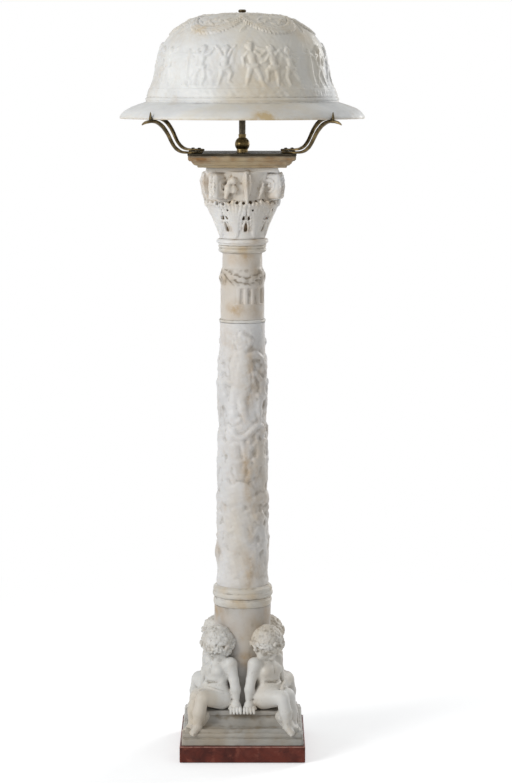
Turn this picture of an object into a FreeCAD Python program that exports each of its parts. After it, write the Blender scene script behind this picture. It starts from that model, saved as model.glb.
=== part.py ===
import FreeCAD, Part
import math
import os

# Alabaster floor lamp, in millimetres. The origin is the middle of the footprint on the floor, +Z is up and
# -Y is the front. Stone blocks are threaded on a steel tube between a nut in the foot and a brass plate,
# and four brass arms on that plate carry a loose stone shade over one bulb.

# General clearances
overrun = 2.0            # how far a cutter runs past the face that it opens
stone_bore_gap = 1.0     # between the tie tube and the bores of the stone blocks
turning_gap = 0.06       # radial clearance of a threaded or turning fit
carving_gap = 0.1        # glue line between a figure and the stone that it sits on
seat_gap = 0.1           # between a turning piece and the face that it is screwed down to

# Felt and marble foot
felt_inset = 6.25          # how far the felt stands in from each side of the foot
felt_thickness = 2.0
felt_hole_r = 42.0
foot_side = 304.5
foot_height = 40.0
foot_edge_r = 3.0
nut_recess_side = 58.0      # a square pocket for the nut and washer
nut_recess_corner_r = 2.0
nut_recess_depth = 22.0

# Cable gland in the back of the foot
gland_body_r = 6.0
gland_bore_r = 3.6
gland_length = 20.0
gland_flange_r = 9.5
gland_flange_thickness = 2.5
gland_fit_gap = 0.05

# Tie tube with its nut and washer in the foot
tube_r = 6.5
tube_wall = 1.5
base_washer_r = 26.0
base_washer_thickness = 3.0
base_nut_flats = 24.0
base_nut_height = 8.0
tube_below_nut = 3.0
tube_above_plate = 24.0

# Plinth of square mouldings
plinth_slab_inset = 2.75    # from the side of the foot
plinth_slab_height = 17.0
plinth_bead_inset = 1.5     # from the side of the slab
plinth_bead_height = 14.0
plinth_fillet_inset = 8.5   # from the side of the bead
plinth_fillet_height = 8.0
plinth_neck_inset = 39.5    # from the side of the fillet
plinth_cove_height = 23.6
plinth_seat_overhang = 4.0  # past the neck
plinth_seat_height = 13.0
moulding_step = 3.0

# Column, from the plinth to the capital
drum_r = 69.5
drum_height = 245.8
drum_ring_r = 71.5
drum_ring_height = 21.3
shaft_ring_r = 74.0
shaft_ring_height = 28.9
ring_edge_r = 4.0
shaft_foot_r = 65.7
shaft_top_r = 55.2
shaft_height = 646.4
bead_ring_r = 57.0
bead_ring_height = 8.0
flute_drum_r = 54.5
flute_drum_height = 161.0
flute_count = 18
flute_r = 6.0
flute_height = 65.5
flute_depth = 3.2
flute_floor = 20.5
garland_r = 57.0
garland_height = 32.0
garland_floor = 86.0
neck_r = 51.0
neck_height = 36.0
neck_ring_r = 58.5
neck_ring_height = 18.6
capital_ring_r = 62.5
capital_ring_height = 15.8

# Capital
capital_height = 172.6
capital_turn_deg = 8.0
bell_foot_r = 55.0
bell_top_r = 88.0
bell_lip_height = 14.0
leaf_count = 8
leaf_half_deg = 17.0
leaf_thickness = 7.0
low_leaf_height = 60.0
low_leaf_reach = 79.0
high_leaf_height = 90.0
high_leaf_reach = 92.0
volute_r = 28.0
volute_width = 30.0
volute_reach = 88.0
volute_eye_r = 8.0
volute_eye_height = 4.0
fleuron_r = 16.0
fleuron_height = 60.0
fleuron_reach = 88.0
cap_plate_side = 168.0
cap_plate_height = 12.0

# Square slab over the capital
abacus_side = 256.0
abacus_height = 29.0
abacus_band_height = 11.0
abacus_foot_side = 212.0

# Brass plate and the four arms
plate_side = 258.0
plate_thickness = 5.0
plate_corner_r = 8.0
arm_width = 15.0
arm_thickness = 7.0
arm_extra_slope_deg = 12.0   # of the middle of the arm, over the straight line between its bends' ends
arm_foot_start = 138.0
arm_bend_start = 184.0
arm_pad_run = 28.5           # from the end of the bend to the rim of the shade
arm_tail_reach = 25.5        # past the rim of the shade
peg_r = 4.0
peg_height = 11.0
peg_point_height = 7.0
peg_gap = 1.0
shade_seat_height = 81.0      # from the top of the plate to the arms' pads
screw_r = 2.5
screw_head_r = 4.5
screw_head_height = 3.0
screw_spacing = 22.0
screw_gap = 0.1

# Stem
clamp_nut_r = 13.5
clamp_nut_height = 8.0
knop_r = 17.8
knop_neck_r = 8.7
knop_neck_height = 8.0
stem_r = 8.0
stem_wall = 1.5
stem_length = 82.0
stem_socket_depth = 10.0

# Lamp holder and bulb
cup_r = 20.5
cup_foot_r = 11.0
cup_height = 15.0
cup_wall = 1.5
holder_r = 19.0
holder_wall = 1.0
holder_height = 40.0
core_floor = 12.0
liner_bore_r = 13.7
liner_wall = 0.8
liner_gap = 0.05
holder_ring_r = 22.0
holder_ring_height = 9.0
key_axis_height = 20.0
key_shaft_r = 2.2
key_gap = 0.3               # around the key's shaft in its boss
key_boss_r = 5.0
key_boss_length = 4.0
key_shaft_length = 9.0
key_paddle_height = 16.0
key_paddle_width = 9.0
key_paddle_thickness = 3.5
bulb_cap_r = 13.3
bulb_cap_height = 25.0
bulb_tip_r = 4.5
bulb_tip_height = 2.0
bulb_neck_r = 13.0
bulb_globe_r = 31.0
bulb_length = 112.0
bulb_wall = 1.0

# Shade and its knob
shade_r = 294.5
shade_height = 249.5
shade_wall = 9.0
dome_foot_r = 233.0
dome_foot_height = 39.0
brim_edge_height = 5.0
brim_flat_width = 30.0
brim_inner_rise = 28.0
crown_flat_r = 12.0
crown_hole_r = 3.6
knob_r = 9.5
knob_height = 8.5
knob_foot_r = 6.0
knob_foot_height = 2.0
knob_flat_r = 3.5
knob_shank_r = 3.0
crown_washer_r = 11.0
crown_washer_thickness = 1.5
crown_nut_flats = 10.0
crown_nut_height = 5.0
shank_past_nut = 2.0

# Seated figures
figure_height = 211.0         # from the seat to the top of the hair

# Outline of the dome from its foot to its crown, as shares of its foot radius and of its height
dome_shares = [
    (1.0, 0.0),
    (0.957, 0.146),
    (0.913, 0.255),
    (0.893, 0.349),
    (0.867, 0.488),
    (0.843, 0.589),
    (0.794, 0.689),
    (0.716, 0.789),
    (0.592, 0.895),
    (0.459, 0.962),
    (0.200, 0.995),
]

# Outline of the brim from its edge to the foot of the dome, as shares of its width and rise
brim_shares = [(0.10, 0.235), (0.25, 0.47), (0.57, 0.735), (1.0, 1.0)]

# Joints of a seated figure as shares of its height: outwards along the diagonal of the plinth, sideways,
# and up from the seat. The first leg hangs near the corner and the second one further round the side.
figure_shares = {
    "belly": (0.440, 0.000, 0.150),
    "chest": (0.400, 0.000, 0.430),
    "neck": (0.385, 0.000, 0.600),
    "head": (0.385, 0.000, 0.800),
    "shoulder": (0.385, 0.178, 0.585),
    "elbow": (0.375, 0.215, 0.380),
    "wrist": (0.360, 0.270, 0.130),
    "hand": (0.385, 0.290, 0.045),
    "hip": (0.470, 0.105, 0.115),
    "near_knee": (0.725, 0.070, 0.175),
    "far_knee": (0.720, -0.075, 0.180),
    "near_ankle": (0.850, 0.062, -0.150),
    "far_ankle": (0.805, -0.060, -0.150),
    "near_toe": (0.940, 0.045, -0.220),
    "far_toe": (0.900, -0.070, -0.220),
}
# Radii of a figure's swells, as shares of its height
girth_shares = {
    "belly": 0.150,
    "chest": 0.150,
    "neck": 0.075,
    "hair": 0.195,
    "shoulder": 0.064,
    "elbow": 0.052,
    "wrist": 0.042,
    "hand": 0.046,
    "hip": 0.105,
    "knee": 0.074,
    "ankle": 0.044,
    "toe": 0.038,
}
# Depth, width and height of a figure's round masses, as shares of their radii
belly_shares = (0.95, 1.0, 1.05)
chest_shares = (0.85, 1.12, 1.15)
head_shares = (1.0, 0.92, 1.0)

# Heights of the stack, worked out from the sizes above
foot_bottom = felt_thickness
felt_side = foot_side - felt_inset * 2
plinth_slab_side = foot_side - plinth_slab_inset * 2
plinth_bead_side = plinth_slab_side - plinth_bead_inset * 2
plinth_fillet_side = plinth_bead_side - plinth_fillet_inset * 2
plinth_neck_side = plinth_fillet_side - plinth_neck_inset * 2
plinth_seat_side = plinth_neck_side + plinth_seat_overhang * 2
arm_bend_end = shade_r - arm_pad_run
arm_tail_end = shade_r + arm_tail_reach
foot_top = foot_bottom + foot_height
plinth_height = (
    plinth_slab_height + plinth_bead_height + plinth_fillet_height + plinth_cove_height + plinth_seat_height
)
plinth_top = foot_top + plinth_height
drum_top = plinth_top + drum_height
drum_ring_top = drum_top + drum_ring_height
shaft_ring_top = drum_ring_top + shaft_ring_height
shaft_top = shaft_ring_top + shaft_height
bead_ring_top = shaft_top + bead_ring_height
flute_drum_top = bead_ring_top + flute_drum_height
neck_ring_top = flute_drum_top + neck_ring_height
capital_ring_top = neck_ring_top + capital_ring_height
capital_top = capital_ring_top + capital_height
abacus_top = capital_top + abacus_height
plate_top = abacus_top + plate_thickness
shade_seat = plate_top + shade_seat_height
stone_bore_r = tube_r + stone_bore_gap
channel_z = foot_bottom + nut_recess_depth / 2
nut_recess_top = foot_bottom + nut_recess_depth
base_nut_bottom = nut_recess_top - base_washer_thickness - base_nut_height
tube_bottom = base_nut_bottom - tube_below_nut
tube_top = plate_top + tube_above_plate
clamp_nut_top = plate_top + clamp_nut_height
knop_centre = clamp_nut_top + math.sqrt(knop_r**2 - clamp_nut_r**2)
knop_top = knop_centre + math.sqrt(knop_r**2 - knop_neck_r**2) + knop_neck_height
stem_top = knop_top + stem_length
cup_top = stem_top + cup_height
holder_top = cup_top + holder_height
core_top = cup_top + core_floor
bulb_bottom = core_top + seat_gap
cap_bottom = bulb_bottom + bulb_tip_height
bulb_cap_top = cap_bottom + bulb_cap_height
globe_centre = bulb_bottom + bulb_length - bulb_globe_r
key_z = cup_top + key_axis_height
crown_top = shade_seat + shade_height
crown_inside = crown_top - shade_wall
arm_pitch = 90.0

UP = FreeCAD.Vector(0, 0, 1)
FRONT = FreeCAD.Vector(0, -1, 0)
ORIGIN = FreeCAD.Vector(0, 0, 0)
parts = {}


# Small helpers

def vec(x, y, z):
    """A point in the lamp's frame."""
    return FreeCAD.Vector(x, y, z)


def line(start, end):
    """A straight edge between two points (r, z) of an outline."""
    return Part.LineSegment(vec(start[0], 0, start[1]), vec(end[0], 0, end[1])).toShape()


def arc(start, middle, end):
    """A round edge through three points (r, z) of an outline."""
    ends = [vec(p[0], 0, p[1]) for p in (start, middle, end)]
    return Part.Arc(*ends).toShape()


def curve(points):
    """A smooth edge through the points (r, z) of an outline."""
    spline = Part.BSplineCurve()
    spline.interpolate([vec(r, 0, z) for r, z in points])
    return spline.toShape()


def polygon(points):
    """Straight edges through all the points (r, z), closed."""
    return [line(a, b) for a, b in zip(points, points[1:] + points[:1])]


def turned(edges):
    """The solid that a closed outline makes when it turns once about the lamp's axis."""
    face = Part.Face(Part.Wire(edges))
    return fixed(face.revolve(ORIGIN, UP, 360))


def fixed(shape):
    """The one solid of a shape, turned the right way out."""
    solid = shape.Solids[0] if shape.Solids else Part.Solid(shape.Shells[0])
    if solid.Volume < 0:
        solid.reverse()
    return solid


def cylinder(radius, bottom, top):
    """An upright cylinder on the lamp's axis."""
    return Part.makeCylinder(radius, top - bottom, vec(0, 0, bottom), UP)


def ring(outer_r, inner_r, bottom, top):
    """An upright ring on the lamp's axis."""
    bore = cylinder(inner_r, bottom - overrun, top + overrun)
    return cylinder(outer_r, bottom, top).cut(bore)


def bored(shape, bottom, top):
    """A stone block with the bore for the tie tube."""
    return shape.cut(cylinder(stone_bore_r, bottom - overrun, top + overrun))


def mitred(half_outline, half_depth):
    """A square block whose four sides follow one outline of (half width, z), mitred at the corners."""
    mirror = [(-x, z) for x, z in reversed(half_outline)]
    face = Part.Face(Part.Wire(polygon(half_outline + mirror)))
    along_y = face.copy()
    along_y.translate(vec(0, -half_depth, 0))
    along_y = along_y.extrude(vec(0, half_depth * 2, 0))
    along_x = along_y.copy()
    along_x.rotate(ORIGIN, UP, 90)
    return along_y.common(along_x)


def square_block(side, bottom, height, corner_r):
    """A square block about the lamp's axis with rounded upright edges."""
    block = Part.makeBox(side, side, height, vec(-side / 2, -side / 2, bottom))
    upright = [e for e in block.Edges if abs(e.tangentAt(e.FirstParameter).z) > math.cos(math.radians(1))]
    return block.makeFillet(corner_r, upright)


def hexagon(flats, bore_r, bottom, height):
    """An upright hexagon nut on the lamp's axis."""
    corner_r = flats / 2 / math.cos(math.radians(30))
    corners = [
        vec(corner_r * math.cos(math.radians(a)), corner_r * math.sin(math.radians(a)), bottom)
        for a in range(0, 361, 60)
    ]
    nut = Part.Face(Part.makePolygon(corners)).extrude(vec(0, 0, height))
    return nut.cut(cylinder(bore_r, bottom - overrun, bottom + height + overrun))


def at_angle(shape, degrees):
    """A copy of a shape turned about the lamp's axis."""
    copy = shape.copy()
    copy.rotate(ORIGIN, UP, degrees)
    return copy


def arc_points(centre, radius, start_deg, end_deg, steps):
    """Points (x, z) along a round stretch of a moulding."""
    angles = [math.radians(start_deg + (end_deg - start_deg) * i / steps) for i in range(steps + 1)]
    return [(centre[0] + radius * math.cos(a), centre[1] + radius * math.sin(a)) for a in angles]


# Foot

def make_felt():
    felt = square_block(felt_side, 0, felt_thickness, foot_edge_r)
    return felt.cut(cylinder(felt_hole_r, -overrun, felt_thickness + overrun))


def make_foot():
    foot = square_block(foot_side, foot_bottom, foot_height, foot_edge_r)
    top_edges = [e for e in foot.Edges if min(v.Z for v in e.Vertexes) > foot_top - foot_edge_r / 2]
    foot = foot.makeChamfer(foot_edge_r / 2, top_edges)
    pocket = square_block(nut_recess_side, foot_bottom - overrun, nut_recess_depth + overrun, nut_recess_corner_r)
    foot = foot.cut(pocket)
    foot = foot.cut(cylinder(stone_bore_r, foot_bottom, foot_top + overrun))
    channel = Part.makeCylinder(
        gland_body_r + gland_fit_gap, foot_side / 2 + overrun, vec(0, 0, channel_z), vec(0, 1, 0)
    )
    return foot.cut(channel)


def make_gland():
    back = foot_side / 2
    start = vec(0, back - gland_length, channel_z)
    body = Part.makeCylinder(gland_body_r, gland_length, start, vec(0, 1, 0))
    flange = Part.makeCylinder(gland_flange_r, gland_flange_thickness, vec(0, back, channel_z), vec(0, 1, 0))
    rim = [e for e in flange.Edges if e.Vertexes[0].Y > back + gland_flange_thickness / 2 and e.Closed]
    flange = flange.makeFillet(gland_flange_thickness / 2, rim)
    bore_length = gland_length + gland_flange_thickness + overrun * 2
    bore = Part.makeCylinder(gland_bore_r, bore_length, start - vec(0, overrun, 0), vec(0, 1, 0))
    return body.fuse(flange).removeSplitter().cut(bore)


def make_foot_hardware():
    washer_bottom = nut_recess_top - base_washer_thickness
    parts["base_washer"] = ring(base_washer_r, tube_r + turning_gap, washer_bottom, nut_recess_top)
    parts["base_nut"] = hexagon(base_nut_flats, tube_r + turning_gap, base_nut_bottom, base_nut_height)
    parts["tie_tube"] = ring(tube_r, tube_r - tube_wall, tube_bottom, tube_top)


# Plinth

def make_plinth():
    slab_half, bead_half = plinth_slab_side / 2, plinth_bead_side / 2
    fillet_half, neck_half = plinth_fillet_side / 2, plinth_neck_side / 2
    seat_half = plinth_seat_side / 2
    slab_top = foot_top + plinth_slab_height
    bead_r = plinth_bead_height / 2
    bead_top = slab_top + plinth_bead_height
    fillet_top = bead_top + plinth_fillet_height
    cove_top = fillet_top + plinth_cove_height
    bead = arc_points((bead_half - bead_r, slab_top + bead_r), bead_r, -90, 90, 6)
    cove_run = fillet_half - moulding_step - neck_half
    cove = [
        (neck_half + cove_run * (1 - math.sin(math.radians(a))), fillet_top + plinth_cove_height * (1 - math.cos(math.radians(a))))
        for a in range(0, 91, 15)
    ]
    outline = [(slab_half, foot_top), (slab_half, slab_top)]
    outline += bead
    outline += [(fillet_half, bead_top), (fillet_half, fillet_top)]
    outline += cove
    outline += [(seat_half, cove_top), (seat_half, plinth_top)]
    block = mitred(outline, slab_half + overrun)
    return bored(block, foot_top, plinth_top)


# Figures

def joint_point(name, side):
    """A joint of a figure, with its middle plane on +X. The seat is the top of the plinth."""
    out, across, up = (share * figure_height for share in figure_shares[name])
    return vec(out, across * side, plinth_top + up)


def ball(point, share):
    return Part.makeSphere(share * figure_height, point)


def limb(start, end, start_share, end_share):
    """A tapered limb between two joints, with a round end at each."""
    run = end - start
    start_r, end_r = start_share * figure_height, end_share * figure_height
    if start_share == end_share:
        middle = Part.makeCylinder(start_r, run.Length, start, run)
    else:
        middle = Part.makeCone(start_r, end_r, run.Length, start, run)
    return [middle, ball(start, start_share), ball(end, end_share)]


def swell(point, share, form_shares):
    """A round mass with its own depth, width and height as shares of its radius."""
    matrix = FreeCAD.Matrix()
    matrix.scale(*form_shares)
    mass = Part.makeSphere(share * figure_height).transformGeometry(matrix)
    mass.translate(point)
    return mass


def make_figure():
    """A seated child on the plinth's corner at +X, leaning back on the drum with both hands on the seat."""
    girth = girth_shares
    belly, chest = joint_point("belly", 1), joint_point("chest", 1)
    neck, head = joint_point("neck", 1), joint_point("head", 1)
    pieces = [
        swell(belly, girth["belly"], belly_shares),
        swell(chest, girth["chest"], chest_shares),
        swell(head, girth["hair"], head_shares),
    ]
    pieces += limb(chest, neck, girth["chest"] / 2, girth["neck"])
    pieces += limb(neck, head, girth["neck"], girth["neck"])
    for side in (1, -1):
        shoulder, elbow = joint_point("shoulder", side), joint_point("elbow", side)
        wrist, hand = joint_point("wrist", side), joint_point("hand", side)
        pieces += limb(shoulder, elbow, girth["shoulder"], girth["elbow"])
        pieces += limb(elbow, wrist, girth["elbow"], girth["wrist"])
        pieces += limb(wrist, hand, girth["wrist"], girth["hand"])
    for leg, side in (("near", 1), ("far", -1)):
        hip, knee = joint_point("hip", side), joint_point(leg + "_knee", 1)
        ankle, toe = joint_point(leg + "_ankle", 1), joint_point(leg + "_toe", 1)
        pieces += limb(hip, knee, girth["hip"], girth["knee"])
        pieces += limb(knee, ankle, girth["knee"], girth["ankle"])
        pieces += limb(ankle, toe, girth["ankle"], girth["toe"])
    body = pieces[0].multiFuse(pieces[1:])
    drum = cylinder(drum_r + carving_gap, plinth_top - overrun, drum_top)
    body = body.cut(drum)
    plinth = at_angle(parts["plinth"], 45)
    body = body.cut(plinth)
    return max(body.Solids, key=lambda s: s.Volume)


def make_figures():
    """Four figures, one at each corner, mirrored in pairs as the two in front are."""
    figure = make_figure()
    front_left = at_angle(figure, 225)
    front_right = front_left.mirror(ORIGIN, vec(1, 0, 0))
    parts["figure_front_left"] = front_left
    parts["figure_front_right"] = front_right
    parts["figure_back_left"] = front_left.mirror(ORIGIN, vec(0, 1, 0))
    parts["figure_back_right"] = front_right.mirror(ORIGIN, vec(0, 1, 0))


# Column

def round_ring(radius, bottom, top, edge_r):
    """A turned ring with rounded upper and lower edges and the bore for the tie tube."""
    shape = cylinder(radius, bottom, top)
    rims = [e for e in shape.Edges if e.Closed]
    return bored(shape.makeFillet(edge_r, rims), bottom, top)


def make_shaft():
    bore = stone_bore_r
    points = [
        (bore, shaft_ring_top),
        (shaft_foot_r, shaft_ring_top),
        (shaft_top_r, shaft_top),
        (bore, shaft_top),
    ]
    return turned(polygon(points))


def make_flute_drum():
    garland_bottom = bead_ring_top + garland_floor
    garland_top = garland_bottom + garland_height
    neck_bottom = flute_drum_top - neck_height
    edges = [
        line((stone_bore_r, bead_ring_top), (flute_drum_r, bead_ring_top)),
        line((flute_drum_r, bead_ring_top), (flute_drum_r, garland_bottom)),
        arc(
            (flute_drum_r, garland_bottom),
            (garland_r, (garland_bottom + garland_top) / 2),
            (flute_drum_r, garland_top),
        ),
        line((flute_drum_r, garland_top), (neck_r, neck_bottom)),
        line((neck_r, neck_bottom), (neck_r, flute_drum_top)),
        line((neck_r, flute_drum_top), (stone_bore_r, flute_drum_top)),
        line((stone_bore_r, flute_drum_top), (stone_bore_r, bead_ring_top)),
    ]
    drum = turned(edges)
    bottom = bead_ring_top + flute_floor + flute_r
    centre_r = flute_drum_r + flute_r - flute_depth
    straight = flute_height - flute_r * 2
    groove = Part.makeCylinder(flute_r, straight, vec(centre_r, 0, bottom), UP)
    groove = groove.fuse(Part.makeSphere(flute_r, vec(centre_r, 0, bottom)))
    groove = groove.fuse(Part.makeSphere(flute_r, vec(centre_r, 0, bottom + straight)))
    for i in range(flute_count):
        drum = drum.cut(at_angle(groove, 360 * (i + 0.5) / flute_count))
    return drum


# Capital

def make_leaf(height, reach):
    """A leaf that rises against the bell and curls over outwards, as a slice of a turned outline."""
    bottom = capital_ring_top
    bell_at_tip = bell_foot_r + (bell_top_r - bell_foot_r) * height / capital_height
    tip = bottom + height
    inner = (bell_foot_r - leaf_thickness, bottom)
    curl_r = leaf_thickness
    edges = [
        line(inner, (bell_foot_r + leaf_thickness / 3, bottom)),
        arc(
            (bell_foot_r + leaf_thickness / 3, bottom),
            ((bell_foot_r + bell_at_tip) / 2 + leaf_thickness * 0.4, bottom + height * 0.5),
            (reach - curl_r, tip - curl_r * 2),
        ),
        arc((reach - curl_r, tip - curl_r * 2), (reach, tip - curl_r), (reach - curl_r, tip)),
        line((reach - curl_r, tip), (bell_at_tip - leaf_thickness, tip)),
        line((bell_at_tip - leaf_thickness, tip), inner),
    ]
    face = Part.Face(Part.Wire(edges))
    slice_deg = leaf_half_deg * 2
    leaf = fixed(face.revolve(ORIGIN, UP, slice_deg))
    leaf.rotate(ORIGIN, UP, -leaf_half_deg)
    return leaf


def make_volute():
    """A corner scroll with an eye on each cheek, on +X."""
    top = capital_top - cap_plate_height
    centre = vec(volute_reach, 0, top - volute_r)
    scroll = Part.makeCylinder(volute_r, volute_width, centre - vec(0, volute_width / 2, 0), vec(0, 1, 0))
    eye_length = volute_width + volute_eye_height * 2
    eye = Part.makeCylinder(volute_eye_r, eye_length, centre - vec(0, eye_length / 2, 0), vec(0, 1, 0))
    return [scroll, eye]


def make_capital():
    bell_lip = capital_top - cap_plate_height
    lip_bottom = bell_lip - bell_lip_height
    edges = [
        line((stone_bore_r, capital_ring_top), (bell_foot_r, capital_ring_top)),
        arc(
            (bell_foot_r, capital_ring_top),
            ((bell_foot_r * 3 + bell_top_r) / 4, (capital_ring_top + lip_bottom) / 2),
            (bell_top_r, lip_bottom),
        ),
        line((bell_top_r, lip_bottom), (bell_top_r, bell_lip)),
        line((bell_top_r, bell_lip), (stone_bore_r, bell_lip)),
        line((stone_bore_r, bell_lip), (stone_bore_r, capital_ring_top)),
    ]
    bell = turned(edges)
    pieces = [square_block(cap_plate_side, bell_lip, cap_plate_height, moulding_step)]
    low, high = make_leaf(low_leaf_height, low_leaf_reach), make_leaf(high_leaf_height, high_leaf_reach)
    pitch = 360 / leaf_count
    for i in range(leaf_count):
        pieces.append(at_angle(low, pitch * (i + 0.5)))
        pieces.append(at_angle(high, pitch * i))
    volutes = make_volute()
    fleuron_centre = vec(fleuron_reach - fleuron_r, 0, bell_lip - fleuron_height)
    fleuron = Part.makeCylinder(fleuron_r, fleuron_height, fleuron_centre, UP)
    for i in range(4):
        pieces += [at_angle(piece, 90 * i + 45) for piece in volutes]
        pieces.append(at_angle(fleuron, 90 * i))
    capital = bell.multiFuse(pieces)
    capital = at_angle(capital, capital_turn_deg)
    return bored(capital, capital_ring_top, capital_top)


def make_abacus():
    top_half, foot_half = abacus_side / 2, abacus_foot_side / 2
    band_bottom = abacus_top - abacus_band_height
    cove_height = abacus_height - abacus_band_height - moulding_step
    run = top_half - moulding_step - foot_half
    outline = [(foot_half, capital_top), (foot_half, capital_top + moulding_step)]
    outline += [
        (
            foot_half + run * math.sin(math.radians(a)),
            capital_top + moulding_step + cove_height * (1 - math.cos(math.radians(a))),
        )
        for a in range(15, 91, 15)
    ]
    outline += [(top_half, band_bottom), (top_half, abacus_top)]
    return bored(mitred(outline, top_half + overrun), capital_top, abacus_top)


# Brass plate and arms

def screw_places():
    """Distances of an arm's two screws from the axis, along the arm."""
    first = arm_foot_start + (arm_bend_start - arm_foot_start - screw_spacing) / 2
    return [first, first + screw_spacing]


def make_plate():
    plate = square_block(plate_side, abacus_top, plate_thickness, plate_corner_r)
    plate = plate.cut(cylinder(tube_r + turning_gap, abacus_top - overrun, plate_top + overrun))
    hole_r = screw_r + screw_gap
    for i in range(4):
        for place in screw_places():
            hole = Part.makeCylinder(
                hole_r, plate_thickness + overrun * 2, vec(place, 0, abacus_top - overrun), UP
            )
            plate = plate.cut(at_angle(hole, arm_pitch * (i + 0.5)))
    return plate


def arm_side(offset):
    """Edges of an arm's curve from its foot to its pad, at an offset to the left of its middle line."""
    start_z = plate_top + arm_thickness / 2
    rise = shade_seat - arm_thickness / 2 - start_z
    run = arm_bend_end - arm_bend_start
    slope = math.atan2(rise, run) + math.radians(arm_extra_slope_deg)
    length = (rise * math.sin(slope) - run * (1 - math.cos(slope))) / (1 - math.cos(slope))
    bend_r = (run - length * math.cos(slope)) / (2 * math.sin(slope))
    low_centre = (arm_bend_start, start_z + bend_r)
    high_centre = (arm_bend_end, start_z + rise - bend_r)

    def low(angle):
        radius = bend_r - offset
        return (low_centre[0] + radius * math.sin(angle), low_centre[1] - radius * math.cos(angle))

    def high(angle):
        radius = bend_r + offset
        return (high_centre[0] - radius * math.sin(angle), high_centre[1] + radius * math.cos(angle))

    foot = (arm_foot_start, start_z + offset)
    tail = (arm_tail_end, start_z + rise + offset)
    edges = [
        line(foot, low(0)),
        arc(low(0), low(slope / 2), low(slope)),
        line(low(slope), high(slope)),
        arc(high(slope), high(slope / 2), high(0)),
        line(high(0), tail),
    ]
    return edges, foot, tail


def make_arm():
    half = arm_thickness / 2
    upper, upper_foot, upper_tail = arm_side(half)
    lower, lower_foot, lower_tail = arm_side(-half)
    edges = upper + [line(upper_tail, lower_tail)] + lower + [line(lower_foot, upper_foot)]
    face = Part.Face(Part.Wire(Part.__sortEdges__(edges)))
    face.translate(vec(0, -arm_width / 2, 0))
    arm = face.extrude(vec(0, arm_width, 0))
    peg_place = shade_r + peg_gap + peg_r
    peg = Part.makeCylinder(peg_r, peg_height + half, vec(peg_place, 0, shade_seat - half), UP)
    point = Part.makeCone(peg_r, 0, peg_point_height, vec(peg_place, 0, shade_seat + peg_height), UP)
    arm = arm.fuse(peg).fuse(point)
    for place in screw_places():
        hole = Part.makeCylinder(
            screw_r + screw_gap, arm_thickness + overrun * 2, vec(place, 0, plate_top - overrun), UP
        )
        arm = arm.cut(hole)
    return arm


def make_arms():
    arm = make_arm()
    names = ["arm_back_right", "arm_back_left", "arm_front_left", "arm_front_right"]
    for i, name in enumerate(names):
        parts[name] = at_angle(arm, arm_pitch * (i + 0.5))


def make_arm_screws():
    screws = []
    seat = plate_top + arm_thickness
    for place in screw_places():
        shank = Part.makeCylinder(screw_r, seat - abacus_top, vec(place, 0, abacus_top), UP)
        head = Part.makeCylinder(screw_head_r, screw_head_height, vec(place, 0, seat), UP)
        head = head.makeFillet(screw_head_height / 2, [e for e in head.Edges if e.Closed and e.Vertexes[0].Z > seat])
        screw = shank.fuse(head)
        screws += [at_angle(screw, arm_pitch * (i + 0.5)) for i in range(4)]
    return Part.makeCompound(screws)


# Stem

def make_clamp_nut():
    nut = cylinder(clamp_nut_r, plate_top, clamp_nut_top)
    return nut.cut(cylinder(tube_r + turning_gap, plate_top - overrun, clamp_nut_top + overrun))


def make_knop():
    """A turned ball with a coved neck, screwed down on the tie tube and holding the stem."""
    bore = tube_r + turning_gap
    floor_r = math.sqrt(knop_r**2 - (knop_centre - clamp_nut_top) ** 2)
    neck_bottom = knop_top - knop_neck_height
    seat = knop_top - stem_socket_depth
    rim_r = stem_r + turning_gap
    ball_edge_r = math.sqrt(knop_r**2 - (neck_bottom - knop_centre) ** 2)
    edges = [
        line((bore, clamp_nut_top), (floor_r, clamp_nut_top)),
        arc((floor_r, clamp_nut_top), (knop_r, knop_centre), (ball_edge_r, neck_bottom)),
        line((ball_edge_r, neck_bottom), (rim_r + stem_wall, knop_top)),
        line((rim_r + stem_wall, knop_top), (rim_r, knop_top)),
        line((rim_r, knop_top), (rim_r, seat)),
        line((rim_r, seat), (bore, seat)),
        line((bore, seat), (bore, clamp_nut_top)),
    ]
    return turned(edges)


def make_stem():
    return ring(stem_r, stem_r - stem_wall, knop_top - stem_socket_depth, stem_top)


# Lamp holder and bulb

def make_cup():
    """The turned cap between the stem and the holder's shell."""
    inner = cup_r - cup_wall
    edges = [
        line((stem_r - stem_wall, stem_top), (cup_foot_r, stem_top)),
        arc((cup_foot_r, stem_top), ((cup_foot_r + cup_r) / 2 + cup_wall, stem_top + cup_height / 3), (cup_r, cup_top)),
        line((cup_r, cup_top), (inner, cup_top)),
        line((inner, cup_top), (stem_r - stem_wall, stem_top + cup_height / 3)),
        line((stem_r - stem_wall, stem_top + cup_height / 3), (stem_r - stem_wall, stem_top)),
    ]
    return turned(edges)


def make_holder_shell():
    shell = ring(holder_r, holder_r - holder_wall, cup_top, holder_top)
    boss = Part.makeCylinder(key_boss_r, key_boss_length, vec(holder_r - holder_wall, 0, key_z), vec(1, 0, 0))
    shell = shell.fuse(boss)
    inside = cylinder(holder_r - holder_wall, cup_top, holder_top)
    shell = shell.cut(inside)
    hole_length = key_boss_length + holder_wall + overrun * 2
    hole = Part.makeCylinder(
        key_shaft_r + key_gap, hole_length, vec(holder_r - holder_wall - overrun, 0, key_z), vec(1, 0, 0)
    )
    return shell.cut(hole)


def make_holder_core():
    """The porcelain body inside the shell, with the well for the screwed liner."""
    outer = holder_r - holder_wall - liner_gap
    core = cylinder(outer, cup_top, holder_top)
    well = cylinder(liner_bore_r + liner_wall + liner_gap, core_top, holder_top + overrun)
    feed = cylinder(stem_r - stem_wall - tube_wall, cup_top - overrun, core_top - core_floor / 2)
    return core.cut(well).cut(feed)


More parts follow.
